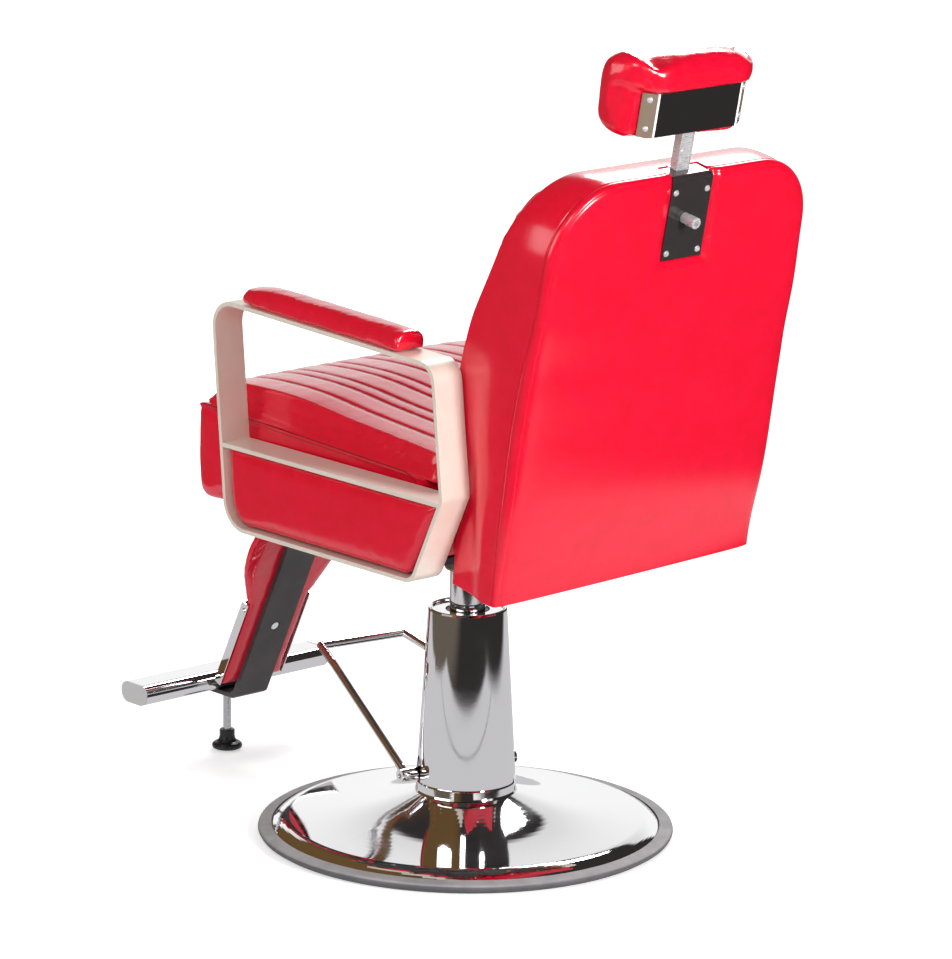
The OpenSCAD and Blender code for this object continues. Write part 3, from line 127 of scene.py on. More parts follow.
world = bpy.data.worlds.new("studio")
scene.world = world
world.use_nodes = True
sky = world.node_tree
sky.nodes.clear()
ray = add(sky, "LightPath")
way = add(sky, "TexCoord").outputs["Generated"]
to_camera = along_axis(sky, way, facing)
aside = along_axis(sky, way, level)
height = along_axis(sky, way, (0, 0, 1))
away = maths(sky, "MULTIPLY", to_camera, -1.0)
turn = maths(sky, "ARCTAN2", aside, away)
backdrop = product(sky, span(sky, turn, -0.40, -0.36), span(sky, turn, 0.52, 0.47),
                   span(sky, height, 0.530, 0.490))
fading = span(sky, height, 0.25, 0.50, 1.0, 0.75)
behind = maths(sky, "ARCTAN2", aside, to_camera)
left_card = product(sky, span(sky, behind, -0.66, -0.62), span(sky, behind, -0.44, -0.48),
                    span(sky, height, 0.34, 0.30))
right_card = product(sky, span(sky, behind, 0.28, 0.33), span(sky, behind, 1.15, 1.05),
                     span(sky, height, 0.30, 0.26))
seen = maths(sky, "MAXIMUM", product(sky, backdrop, fading), maths(sky, "MAXIMUM", left_card, right_card))
walls = add(sky, "Mix", data_type="RGBA")
join(sky, span(sky, aside, -0.1, -0.35), walls.inputs[0])
walls.inputs[6].default_value = ROOM
walls.inputs[7].default_value = ROOM_LEFT
mirror = add(sky, "Mix", data_type="RGBA")
join(sky, seen, mirror.inputs[0], walls.outputs[2], mirror.inputs[6])
mirror.inputs[7].default_value = WHITE
room = add(sky, "Background", {"Strength": 1.0})
join(sky, mirror.outputs[2], room.inputs["Color"])
soft = add(sky, "Background", {"Color": WHITE, "Strength": AMBIENT})
plain = add(sky, "Background", {"Color": WHITE, "Strength": 1.0})
glossy_mix = add(sky, "MixShader")
camera_mix = add(sky, "MixShader")
sky_out = add(sky, "OutputWorld")
join(sky, maths(sky, "MAXIMUM", ray.outputs["Is Glossy Ray"], ray.outputs["Is Transmission Ray"]),
     glossy_mix.inputs[0], soft.outputs[0], glossy_mix.inputs[1], room.outputs[0], glossy_mix.inputs[2],
     ray.outputs["Is Camera Ray"], camera_mix.inputs[0], glossy_mix.outputs[0], camera_mix.inputs[1],
     plain.outputs[0], camera_mix.inputs[2], camera_mix.outputs[0], sky_out.inputs[0])


def lamp(name, place, target, width, height, power):
    """A soft rectangular lamp aimed at a point."""
    light = bpy.data.lights.new(name, "AREA")
    light.shape = "RECTANGLE"
    light.size, light.size_y, light.energy = width, height, power
    holder = bpy.data.objects.new(name, light)
    scene.collection.objects.link(holder)
    holder.location = place
    holder.rotation_euler = (Vector(target) - Vector(place)).to_track_quat("-Z", "Y").to_euler()
    return holder


lamp("key_lamp", (-0.12, 4.5, 1.9), (0, 0.3, 0.7), 0.7, 1.9, 155)
lamp("side_lamp", (4.0, -0.5, 1.7), (0, 0, 0.6), 2.8, 2.2, 48)
lamp("edge_lamp", (2.9, 2.6, 2.9), (0, 0.3, 0.8), 0.8, 1.2, 26)
lamp("hair_lamp", (-2.6, -1.8, 3.0), (0, 0, 0.7), 1.2, 0.9, 60)

floor_form = bmesh.new()
bmesh.ops.create_grid(floor_form, x_segments=1, y_segments=1, size=30)
floor_mesh = bpy.data.meshes.new("floor")
floor_form.to_mesh(floor_mesh)
floor_form.free()
floor = bpy.data.objects.new("floor", floor_mesh)
scene.collection.objects.link(floor)
floor.location.z = -0.0004
sweep = bpy.data.materials.new("white_sweep")
sweep.use_nodes = True
paper = sweep.node_tree
paper.nodes.clear()
paper_ray = add(paper, "LightPath")
spot = add(paper, "TexCoord").outputs["Object"]
across = along_axis(paper, spot, level)
onward = maths(paper, "ADD", along_axis(paper, spot, facing), product(paper, across, across, 0.2))
sheet_end = span(paper, onward, 1.25, 1.32)
sheet_side = maths(paper, "MAXIMUM", span(paper, across, 1.12, 1.42), span(paper, across, -1.32, -1.42))
tape = product(paper, span(paper, onward, 0.800, 0.812), span(paper, onward, 0.838, 0.826))
beyond = maths(paper, "MAXIMUM", maths(paper, "MAXIMUM", sheet_end, sheet_side), product(paper, tape, 0.6))
paper_look = add(paper, "Mix", data_type="RGBA")
join(paper, beyond, paper_look.inputs[0])
paper_look.inputs[6].default_value = (0.60, 0.59, 0.60, 1)
left_room = add(paper, "Mix", {6: ROOM, 7: (0.13, 0.105, 0.085, 1)}, data_type="RGBA")
join(paper, span(paper, across, -0.5, -1.3), left_room.inputs[0], left_room.outputs[2], paper_look.inputs[7])
mirrored = add(paper, "Emission", {"Strength": 1.0})
join(paper, paper_look.outputs[2], mirrored.inputs["Color"])
matt = add(paper, "BsdfDiffuse", {"Color": (0.80, 0.80, 0.80, 1)})
glow = add(paper, "Emission", {"Color": WHITE})
reach = add(paper, "VectorMath", operation="LENGTH")
join(paper, spot, reach.inputs[0],
     span(paper, reach.outputs["Value"], 1.0, 3.2, 0.50, 1.0), glow.inputs["Strength"])
lit = add(paper, "AddShader")
camera_lit = add(paper, "MixShader")
glossy_lit = add(paper, "MixShader")
paper_out = add(paper, "OutputMaterial")
join(paper, matt.outputs[0], lit.inputs[0], glow.outputs[0], lit.inputs[1],
     paper_ray.outputs["Is Camera Ray"], camera_lit.inputs[0], matt.outputs[0], camera_lit.inputs[1],
     lit.outputs[0], camera_lit.inputs[2],
     maths(paper, "MAXIMUM", paper_ray.outputs["Is Glossy Ray"], paper_ray.outputs["Is Transmission Ray"]),
     glossy_lit.inputs[0], camera_lit.outputs[0], glossy_lit.inputs[1],
     mirrored.outputs[0], glossy_lit.inputs[2], glossy_lit.outputs[0], paper_out.inputs[0])
floor.data.materials.append(sweep)


# ---------------------------------------------------------------- base, column and ram
# A spun steel dome on a ballast plate, a tapered cover round the pump and the ground ram that
# carries the seat. Dome, collar and cover are chromed; the rim wears a moulded rubber ring.

def finish(name, colour, metallic=0.0, roughness=0.4, **more):
    """A new finish on the standard shader, with its plain values on the shader's own sockets."""
    material = bpy.data.materials.new(name)
    material.use_nodes = True
    shader = material.node_tree.nodes["Principled BSDF"]
    shader.inputs["Base Color"].default_value = (*colour, 1)
    shader.inputs["Metallic"].default_value = metallic
    shader.inputs["Roughness"].default_value = roughness
    for key, value in more.items():
        shader.inputs[key.replace("_", " ")].default_value = value
    return material, material.node_tree, shader


def cloudy(tree, scale, detail=4, stretch=(1, 1, 1), distortion=0.0, rough=0.55):
    """A noise on the piece's own coordinates, from 0 to 1."""
    place = add(tree, "Mapping", {"Scale": stretch})
    node = add(tree, "TexNoise",
               {"Scale": scale, "Detail": detail, "Distortion": distortion, "Roughness": rough})
    join(tree, add(tree, "TexCoord").outputs["Object"], place.inputs["Vector"],
         place.outputs["Vector"], node.inputs["Vector"])
    return node.outputs["Fac"]


def pebbled(tree, scale, feature="SMOOTH_F1"):
    """The cells of a grain on the piece's own coordinates."""
    node = add(tree, "TexVoronoi", {"Scale": scale}, feature=feature)
    join(tree, add(tree, "TexCoord").outputs["Object"], node.inputs["Vector"])
    return node.outputs["Distance"]


def tint(tree, shader, amount, first, second):
    """Colours the finish between two shades."""
    node = add(tree, "Mix", data_type="RGBA")
    join(tree, amount, node.inputs[0], node.outputs[2], shader.inputs["Base Color"])
    node.inputs[6].default_value = (*first, 1)
    node.inputs[7].default_value = (*second, 1)
    return node.outputs[2]


def dent(tree, shader, height, distance, strength=1.0):
    """Adds a relief to the finish, over any that it already has."""
    node = add(tree, "Bump", {"Distance": distance, "Strength": strength})
    before = [link.from_socket for link in tree.links if link.to_socket == shader.inputs["Normal"]]
    if before:
        join(tree, before[0], node.inputs["Normal"])
    join(tree, height, node.inputs["Height"], node.outputs["Normal"], shader.inputs["Normal"])


def dress(material, *names):
    """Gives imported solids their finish."""
    for name in names:
        solid = nodes[name]
        if not solid.material_slots:
            solid.data.materials.append(material)
        for holder in solid.material_slots:
            holder.material = material


BRIGHT_CHROME = (0.90, 0.90, 0.91)

chrome, tree, shader = finish("mirror_chrome", BRIGHT_CHROME, 1.0, 0.04)
join(tree, span(tree, cloudy(tree, 16, 5), 0.35, 0.75, 0.025, 0.085), shader.inputs["Roughness"])
dent(tree, shader, cloudy(tree, 7, 2), 0.0006, 0.12)
dent(tree, shader, cloudy(tree, 420, 2), 0.00004, 0.25)

ring_rubber, tree, shader = finish("ring_rubber", (0.24, 0.235, 0.24), 0.0, 0.62)
# The ring's sides are darker than its top, by how each face is turned: painted shade for the lesser light on
# its sides, multiplied over its own random tone.
lying = span(tree, along_axis(tree, add(tree, "NewGeometry").outputs["Normal"], (0, 0, 1)), 0.25, 0.75)
ring_top = tint(tree, shader, span(tree, cloudy(tree, 30, 6), 0.3, 0.7),
                (0.30, 0.29, 0.30), (0.38, 0.37, 0.375))
painted_side_shade = add(tree, "Mix", {7: (1, 1, 1, 1), 6: (0.36, 0.36, 0.37, 1)}, data_type="RGBA")
shaded_ring_colour = add(tree, "Mix", {0: 1.0}, data_type="RGBA", blend_type="MULTIPLY")
join(tree, lying, painted_side_shade.inputs[0], ring_top, shaded_ring_colour.inputs[6], painted_side_shade.outputs[2], shaded_ring_colour.inputs[7],
     shaded_ring_colour.outputs[2], shader.inputs["Base Color"])
dent(tree, shader, pebbled(tree, 900), 0.0002, 0.35)
dent(tree, shader, cloudy(tree, 60, 5), 0.0005, 0.3)

cast_iron, tree, shader = finish("cast_iron", (0.10, 0.105, 0.11), 0.3, 0.6)
tint(tree, shader, span(tree, cloudy(tree, 45, 6), 0.3, 0.7), (0.07, 0.075, 0.08), (0.14, 0.145, 0.15))
dent(tree, shader, cloudy(tree, 240, 6), 0.0007, 0.6)

ground_steel, tree, shader = finish("ground_steel", (0.62, 0.62, 0.63), 1.0, 0.22)
join(tree, span(tree, cloudy(tree, 40, 6, (1, 1, 18)), 0.3, 0.7, 0.16, 0.34), shader.inputs["Roughness"])
dent(tree, shader, cloudy(tree, 90, 4, (1, 1, 22)), 0.00008, 0.4)

bronze, tree, shader = finish("bronze", (0.62, 0.38, 0.16), 1.0, 0.3)
join(tree, span(tree, cloudy(tree, 60, 6), 0.3, 0.7, 0.22, 0.42), shader.inputs["Roughness"])

black_rubber, tree, shader = finish("black_rubber", (0.012, 0.012, 0.013), 0.0, 0.32)
join(tree, span(tree, cloudy(tree, 80, 5), 0.3, 0.7, 0.22, 0.42), shader.inputs["Roughness"])
dent(tree, shader, cloudy(tree, 300, 4), 0.0001, 0.3)

BELL_RIM, BELL_WIDTH, BELL_LEVEL = 0.256, 0.194, 0.62
BELL_SLOPE, BELL_CURVE = 0.0194, 0.0168

dome_chrome, tree, shader = finish("dome_chrome", BRIGHT_CHROME, 1.0, 0.04)
join(tree, span(tree, cloudy(tree, 16, 5), 0.35, 0.75, 0.025, 0.085), shader.inputs["Roughness"])
dent(tree, shader, cloudy(tree, 7, 2), 0.0006, 0.12)
flattened = add(tree, "VectorMath", {1: (1, 1, 0)}, operation="MULTIPLY")
radius = add(tree, "VectorMath", operation="LENGTH")
join(tree, add(tree, "TexCoord").outputs["Object"], flattened.inputs[0],
     flattened.outputs[0], radius.inputs[0])
inward = maths(tree, "SUBTRACT", BELL_RIM, radius.outputs["Value"])
inward = maths(tree, "MAXIMUM", maths(tree, "DIVIDE", inward, BELL_WIDTH))
inward = maths(tree, "MINIMUM", inward, BELL_LEVEL)
bell = maths(tree, "SUBTRACT", product(tree, maths(tree, "POWER", inward, 3.0), BELL_CURVE),
             product(tree, inward, BELL_SLOPE))
dent(tree, shader, bell, 1.0)

dress(dome_chrome, "base_shell")
dress(chrome, "column_collar", "pump_cover", "ram", "pump_bolts")
dress(ring_rubber, "base_trim")
dress(cast_iron, "ballast_plate", "pump_body", "gland_nut", "reservoir_tube")
dress(ground_steel, "cylinder_tube", "plunger_spring", "pump_plunger")
dress(bronze, "swivel_washer")
dress(black_rubber, "wiper_seal", "piston_seal")


# ---------------------------------------------------------------- pedal
# A bent chromed bar welded into a cross shaft, with the crank that works the pump inside the cover.

dress(chrome, "pedal_bar", "pedal_shaft")
dress(cast_iron, "pump_crank")
dress(ground_steel, "pedal_grub_screws")


# ---------------------------------------------------------------- seat carrier
# The cast hub on the ram and the pressed pan under the seat, both painted.

charcoal_paint, tree, shader = finish("charcoal_paint", (0.058, 0.048, 0.050), 0.0, 0.42)
tint(tree, shader, span(tree, cloudy(tree, 24, 5), 0.3, 0.7), (0.050, 0.042, 0.044), (0.070, 0.058, 0.060))
dent(tree, shader, cloudy(tree, 380, 3), 0.00015, 0.35)
dent(tree, shader, cloudy(tree, 30, 3), 0.0004, 0.15)

dress(cast_iron, "swivel_hub")
dress(charcoal_paint, "seat_pan", "hinge_brackets", "back_irons", "legrest_channel")
dress(ground_steel, "hub_bolts", "hinge_pins", "foot_lock_nut")


# ---------------------------------------------------------------- arms
# Wide flat bars bent to a loop and satin plated, with a flat rail across each loop and a plywood
# board behind its padded panel.

champagne, tree, shader = finish("satin_champagne", (0.86, 0.77, 0.67), 0.22, 0.36)
tint(tree, shader, span(tree, cloudy(tree, 18, 4), 0.3, 0.7), (0.84, 0.745, 0.645), (0.88, 0.795, 0.695))
join(tree, span(tree, cloudy(tree, 60, 5, (1, 14, 14)), 0.3, 0.7, 0.30, 0.42), shader.inputs["Roughness"])
dent(tree, shader, cloudy(tree, 120, 3, (1, 16, 16)), 0.00005, 0.3)

plywood, tree, shader = finish("plywood", (0.45, 0.28, 0.14), 0.0, 0.6)
tint(tree, shader, span(tree, cloudy(tree, 20, 6, (10, 1, 6), 1.2), 0.3, 0.7),
     (0.36, 0.21, 0.10), (0.56, 0.37, 0.20))
dent(tree, shader, cloudy(tree, 40, 5, (12, 1, 8)), 0.0003, 0.4)

dress(champagne, "arm_loop_left", "arm_loop_right", "arm_rail_left", "arm_rail_right")
dress(plywood, "side_board_left", "side_board_right")
dress(ground_steel, "arm_pad_screws")


# ---------------------------------------------------------------- legrest frame and footrest
# A painted steel channel bent at its foot, a chromed kick plate, the wide chromed footrest bar with
# moulded end caps, and the screw foot that keeps the chair from tipping.

grey_cap, tree, shader = finish("grey_cap", (0.56, 0.55, 0.55), 0.0, 0.5)
dent(tree, shader, cloudy(tree, 200, 4), 0.0002, 0.3)
join(tree, span(tree, cloudy(tree, 30, 4), 0.3, 0.7, 0.42, 0.58), shader.inputs["Roughness"])

dress(chrome, "kick_plate", "footrest_bar", "kick_screws", "channel_screws")
dress(grey_cap, "footrest_caps")
dress(ground_steel, "foot_stem")
dress(black_rubber, "foot_pad")


# ---------------------------------------------------------------- back plate and headrest post
# A black enamelled plate lets into the back round the post's socket; a sprung knob locks the post.

gloss_black, tree, shader = finish("gloss_black", (0.032, 0.027, 0.027), 0.0, 0.14, Coat_Weight=0.6,
                                   Coat_Roughness=0.05)
join(tree, span(tree, cloudy(tree, 30, 5), 0.3, 0.7, 0.10, 0.24), shader.inputs["Roughness"])
dent(tree, shader, cloudy(tree, 60, 3), 0.0002, 0.12)

satin_steel, tree, shader = finish("satin_steel", (0.80, 0.79, 0.80), 0.50, 0.30)
join(tree, span(tree, cloudy(tree, 70, 5, (1, 1, 12)), 0.3, 0.7, 0.24, 0.38), shader.inputs["Roughness"])
dent(tree, shader, cloudy(tree, 160, 4, (1, 1, 14)), 0.00008, 0.4)

dress(gloss_black, "back_plate")
dress(satin_steel, "post_socket", "index_knob", "index_pin", "back_plate_screws", "headrest_post")

HEAD_PLATE_LOW, HEAD_PLATE_TOP, HEAD_PLATE_HALF, HEAD_FLANGE_END = 0.178, 0.240, 0.078, 0.0964

head_chrome, tree, shader = finish("headrest_chrome", BRIGHT_CHROME, 1.0, 0.05)
beside = maths(tree, "ABSOLUTE", along_axis(tree, add(tree, "TexCoord").outputs["Object"], (1, 0, 0)))
# The flanges are coloured a warm brown and made rougher and less metallic: a painted reflection of warm
# surroundings, not a finish of their own. A matt white line along each bend is a painted highlight, where the
# sharp bend stands in for a rounded one.
on_flange = span(tree, beside, HEAD_PLATE_HALF - 0.0002, HEAD_PLATE_HALF + 0.0008)
on_bend = product(tree, span(tree, beside, HEAD_PLATE_HALF - 0.0034, HEAD_PLATE_HALF - 0.0028),
                  span(tree, beside, HEAD_PLATE_HALF + 0.0008, HEAD_PLATE_HALF + 0.0002))
flange_painted_reflection = add(tree, "Mix", {6: (*BRIGHT_CHROME, 1), 7: (0.46, 0.35, 0.26, 1)}, data_type="RGBA")
bent = add(tree, "Mix", {7: WHITE}, data_type="RGBA")
join(tree, on_flange, flange_painted_reflection.inputs[0], flange_painted_reflection.outputs[2], bent.inputs[6], on_bend, bent.inputs[0],
     bent.outputs[2], shader.inputs["Base Color"])
matt_share = maths(tree, "MAXIMUM", product(tree, on_flange, 0.45), product(tree, on_bend, 0.85))
blurred = maths(tree, "MAXIMUM", product(tree, on_flange, 0.25), on_bend)
join(tree, maths(tree, "SUBTRACT", 1.0, matt_share), shader.inputs["Metallic"],
     maths(tree, "ADD", 0.05, blurred), shader.inputs["Roughness"])
dress(head_chrome, "headrest_plate")


# ---------------------------------------------------------------- side panels
# Foam on a board, covered in cherry leather and sprung into each arm loop.

def leather(name, slits=None):
    """Glazed cherry leather with a fine crackle; slits darken and cut the lines of a sewn face."""
    hide, tree, shader = finish(name, (0.78, 0.0015, 0.028), 0.0, 0.22,
                                Coat_Weight=0.7, Coat_Roughness=0.16, Coat_IOR=1.5)
    mottle = span(tree, cloudy(tree, 30, 9, rough=0.75), 0.25, 0.75)
    shade = tint(tree, shader, mottle, (0.71, 0.0002, 0.020), (0.80, 0.0006, 0.030))
    polish = span(tree, cloudy(tree, 55, 8, rough=0.7), 0.25, 0.75, 0.17, 0.25)
    join(tree, polish, shader.inputs["Roughness"])
    dent(tree, shader, cloudy(tree, 10, 3), 0.0008, 0.22)
    dent(tree, shader, cloudy(tree, 85, 8, rough=0.65), 0.0004, 0.28)
    dent(tree, shader, cloudy(tree, 330, 4), 0.00012, 0.35)
    dent(tree, shader, pebbled(tree, 900), 0.00006, 0.30)
    if slits:
        slits(tree, shader, shade)
    return hide


cherry = leather("cherry_leather")


def copy_of(node, name):
    """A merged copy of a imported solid, as the start of an upholstered piece."""
    form = bmesh.new()
    form.from_mesh(nodes[node].data)
    bmesh.ops.remove_doubles(form, verts=form.verts, dist=0.00002)
    mesh = bpy.data.meshes.new(name)
    form.to_mesh(mesh)
    form.free()
    piece = bpy.data.objects.new(name, mesh)
    scene.collection.objects.link(piece)
    return piece


def settle(piece):
    """Makes the piece's modifiers its own mesh."""
    bpy.context.view_layer.update()
    shaped = piece.evaluated_get(bpy.context.evaluated_depsgraph_get())
    made = bpy.data.meshes.new_from_object(shaped)
    piece.modifiers.clear()
    made.name = piece.name
    piece.data = made


def points_of(piece):
    """The piece's points and their normals, as arrays."""
    mesh = piece.data
    count = len(mesh.vertices)
    points, normals = np.zeros(count * 3), np.zeros(count * 3)
    mesh.vertices.foreach_get("co", points)
    mesh.vertices.foreach_get("normal", normals)
    return points.reshape(-1, 3), normals.reshape(-1, 3)


def set_points(piece, points):
    """Puts the piece's points where they are told."""
    piece.data.vertices.foreach_set("co", points.astype(np.float32).ravel())
    piece.data.update()


def puff(piece, pressure, cap):
    """Blows the cover up like a filled cushion, with no point moving further than the cap."""
    before, _ = points_of(piece)
    cloth = piece.modifiers.new("puff", "CLOTH")
    cloth.settings.use_pressure = True
    cloth.settings.uniform_pressure_force = pressure
    cloth.settings.effector_weights.gravity = 0
    cloth.settings.quality = 3
    cloth.point_cache.frame_start = 1
    cloth.point_cache.frame_end = 20
    for step in range(1, 21):
        scene.frame_set(step)
    settle(piece)
    after, _ = points_of(piece)
    moved = after - before
    reach = np.linalg.norm(moved, axis=1, keepdims=True)
    set_points(piece, before + moved * np.minimum(1, cap / np.maximum(reach, 1e-9)))
    scene.frame_set(1)


def upholster(node, name, voxel, calm, pressure, cap, shrink):
    """An even, softened and filled cover over a packed soft solid."""
    piece = copy_of(node, name)
    even = piece.modifiers.new("even", "REMESH")
    even.mode = "VOXEL"
    even.voxel_size = voxel
    smooth = piece.modifiers.new("smooth", "SMOOTH")
    smooth.factor = 0.5
    smooth.iterations = calm
    settle(piece)
    points, normals = points_of(piece)
    set_points(piece, points - normals * shrink)
    puff(piece, pressure, cap)
    finer = piece.modifiers.new("finer", "SUBSURF")
    finer.levels = finer.render_levels = 1
    settle(piece)
    for face in piece.data.polygons:
        face.use_smooth = True
    piece.data.materials.clear()
    piece.data.materials.append(cherry)
    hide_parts(node)
    return piece


def hills(points, size, seed, octaves=3):
    """A smooth random height at each point, about -1 to 1, of the given size."""
    shift = Vector((seed * 3.7, seed * 1.3, seed * 5.1))
    return np.array([noise.fractal(Vector(p) / size + shift, 0.9, 2.0, octaves) for p in points])


for side, sign in (("left", 1), ("right", -1)):
    panel = upholster("side_panel_" + side, "side_panel_cover_" + side, 0.004, 3, 3, 0.0015, 0.001)
    points, normals = points_of(panel)
    outward = np.clip(normals[:, 0] * sign, 0, 1)
    ripple = 0.0005 * hills(points, 0.05, 3 + sign) * outward
    set_points(panel, points + normals * ripple[:, None])
    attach(panel, "seat")


# ---------------------------------------------------------------- arm pads
# Moulded foam pads under leather, one on the sloping top of each arm loop.

for side, sign in (("left", 1), ("right", -1)):
    pad = upholster("arm_pad_" + side, "arm_pad_cover_" + side, 0.0035, 4, 3, 0.002, 0.001)
    points, normals = points_of(pad)
    set_points(pad, points + normals * (0.0006 * hills(points, 0.03, 7 + sign))[:, None])
    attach(pad, "seat")


# ---------------------------------------------------------------- seat
# A boxed base in plain leather and a cushion on it, whose top is sewn into broad and narrow panels
# from front to back.

SEAMS = [0.024, 0.052, 0.100, 0.128, 0.176]
JOINT_HEIGHT, JOINT_FALL = 0.6038, 0.0402
TURN_START, TURN_RADIUS = 0.126, 0.037
SEAT_SIDE, SEAT_FRONT, SEAT_REAR = 0.2352, -0.312, 0.212


def ease(low, high, value):
    """A smooth step from 0 to 1."""
    t = np.clip((value - low) / (high - low), 0, 1)
    return t * t * (3 - 2 * t)


def seam_gap(across):
    """How far a place across the chair is from the nearest sewn seam."""
    return np.min([abs(abs(across) - seam) for seam in SEAMS], axis=0)


def line_across(tree, out, low, high):
    """1 where a value lies between two limits, with soft edges."""
    edge = 0.0004
    return product(tree, span(tree, out, low - edge, low + edge), span(tree, out, high + edge, high - edge))


def cut_line(tree, shader, shade, mark, depth, colour=(0.20, 0.0, 0.006)):
    """Darkens the leather where the mark is 1 and sinks it there, and returns the new shade; the darkening is
    part dark joint and part painted shade in the narrow groove.
    """
    node = add(tree, "Mix", {7: (*colour, 1)}, data_type="RGBA")
    join(tree, product(tree, mark, 0.85), node.inputs[0], shade, node.inputs[6],
         node.outputs[2], shader.inputs["Base Color"])
    dent(tree, shader, maths(tree, "SUBTRACT", 1.0, mark), depth)
    return node.outputs[2]


def channel_slits(tree, shader, shade):
    """Draws the sewn lines between the cushion's panels, which run from end to end."""
    across = maths(tree, "ABSOLUTE", along_axis(tree, add(tree, "TexCoord").outputs["Object"], (1, 0, 0)))
    gaps = [maths(tree, "ABSOLUTE", maths(tree, "SUBTRACT", across, seam)) for seam in SEAMS]
    gap = gaps[0]
    for other in gaps[1:]:
        gap = maths(tree, "MINIMUM", gap, other)
    return cut_line(tree, shader, shade, span(tree, gap, 0.0021, 0.0007), 0.0016)


def side_seam(tree, shader, shade):
    """The welt and its row of stitches on the seat's sides, turning down near the back."""
    place = add(tree, "TexCoord").outputs["Object"]
    along = maths(tree, "SUBTRACT", along_axis(tree, place, (0, 1, 0)), TURN_START)
    above = maths(tree, "SUBTRACT", along_axis(tree, place, (0, JOINT_FALL, 1)), JOINT_HEIGHT - TURN_RADIUS)
    along, above = maths(tree, "MAXIMUM", along), maths(tree, "MAXIMUM", above)
    reach = maths(tree, "SQRT", maths(tree, "ADD", product(tree, along, along), product(tree, above, above)))
    beside = span(tree, maths(tree, "ABSOLUTE", along_axis(tree, place, (1, 0, 0))), 0.224, 0.228)
    welt = product(tree, line_across(tree, reach, 0.0365, 0.0376), beside)
    shade = cut_line(tree, shader, shade, welt, 0.0018)
    row = product(tree, line_across(tree, reach, 0.0312, 0.0320), beside)
    return cut_line(tree, shader, shade, row, 0.0008, (0.42, 0.004, 0.02))


def seat_lines(tree, shader, shade):
    """Channels on top and the seam along the sides."""
    side_seam(tree, shader, channel_slits(tree, shader, shade))


seat_hide = leather("seat_leather", seat_lines)
box_hide = leather("box_leather", side_seam)


def rewrap(piece, material):
    """Gives an upholstered piece its own leather."""
    piece.data.materials.clear()
    piece.data.materials.append(material)


def flush(piece, upward):
    """Squares the edges at the joint between the seat's box and its cushion, so that their sides meet."""
    points, _ = points_of(piece)
    joint = JOINT_HEIGHT - JOINT_FALL * points[:, 1]
    near = 1 - ease(0.003, 0.011, (joint - points[:, 2]) * upward)
    side = ease(0.214, 0.224, abs(points[:, 0])) * near
    points[:, 0] += (np.sign(points[:, 0]) * (SEAT_SIDE - 0.0003 * upward) - points[:, 0]) * side
    lapped = joint + 0.0012 * upward
    edge = 1 - ease(0.0, 0.0050, (joint - points[:, 2]) * upward)
    points[:, 2] += (lapped - points[:, 2]) * side * edge
    set_points(piece, points)


def soften(piece, chosen, rounds):
    """Evens out the chosen points with their neighbours."""
    form = bmesh.new()
    form.from_mesh(piece.data)
    form.verts.ensure_lookup_table()
    verts = [form.verts[i] for i in np.flatnonzero(chosen)]
    for _ in range(rounds):
        bmesh.ops.smooth_vert(form, verts=verts, factor=0.5,
                              use_axis_x=True, use_axis_y=True, use_axis_z=True)
    form.to_mesh(piece.data)
    form.free()
    piece.data.update()


box = upholster("seat_box", "seat_box_cover", 0.005, 1, 3, 0.002, 0.0008)
points, normals = points_of(box)
set_points(box, points + normals * (0.0004 * hills(points, 0.07, 11))[:, None])
flush(box, 1)
rewrap(box, box_hide)
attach(box, "seat")

cushion = upholster("seat_cushion", "seat_cushion_cover", 0.004, 1, 4, 0.004, 0.0012)
points, normals = points_of(cushion)
upward = np.clip(normals[:, 2] * 1.6 - 0.4, 0, 1)
ends = ease(SEAT_FRONT, SEAT_FRONT + 0.050, points[:, 1]) * (1 - ease(0.185, SEAT_REAR, points[:, 1]))
rows = np.linspace(SEAT_FRONT, SEAT_REAR, 54)
crest = np.array([np.percentile(points[abs(points[:, 1] - row) < 0.010][:, 2], 97) for row in rows])
crest = np.convolve(np.pad(crest, 2, "edge"), np.ones(5) / 5, "valid")
across = np.clip(abs(points[:, 0]) / 0.224, 0, 1.2)
lying = np.interp(points[:, 1], rows, crest) - 0.0024 * across ** 6 + 0.0006
lift = np.clip(normals[:, 2] * 2.4 - 0.3, 0, 1)
level_top = lift * ends * (1 - ease(0.221, 0.234, abs(points[:, 0])))
points[:, 2] += (lying - points[:, 2]) * level_top
gap = seam_gap(points[:, 0])
dip = -0.0014 * np.exp(-(gap / 0.0035) ** 2) + 0.0007 * np.clip(gap / 0.012, 0, 1)
creases = (0.00022 * hills(points * np.array([0.45, 1, 1]), 0.022, 17, 3)
           + 0.0005 * hills(points, 0.09, 19, 1))
set_points(cushion, points + normals * (dip * upward * ends + creases)[:, None])
flush(cushion, -1)
points, _ = points_of(cushion)
above_joint = points[:, 2] - JOINT_HEIGHT + JOINT_FALL * points[:, 1]
soften(cushion, (abs(points[:, 0]) > 0.200) & (above_joint > 0.004), 10)
rewrap(cushion, seat_hide)
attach(cushion, "seat")


# ---------------------------------------------------------------- legrest pad
# A shaped pad behind the calves, covered in leather and screwed to the channel through the kick plate.

legrest = upholster("legrest_pad", "legrest_cover", 0.004, 3, 3, 0.0015, 0.001)
points, normals = points_of(legrest)
set_points(legrest, points + normals * (0.0006 * hills(points, 0.04, 23))[:, None])
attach(legrest, "seat")


# ---------------------------------------------------------------- back
# A board wrapped in foam and leather: a plain crowned rear skin seamed to a side band, and a
# channelled cushion in front.

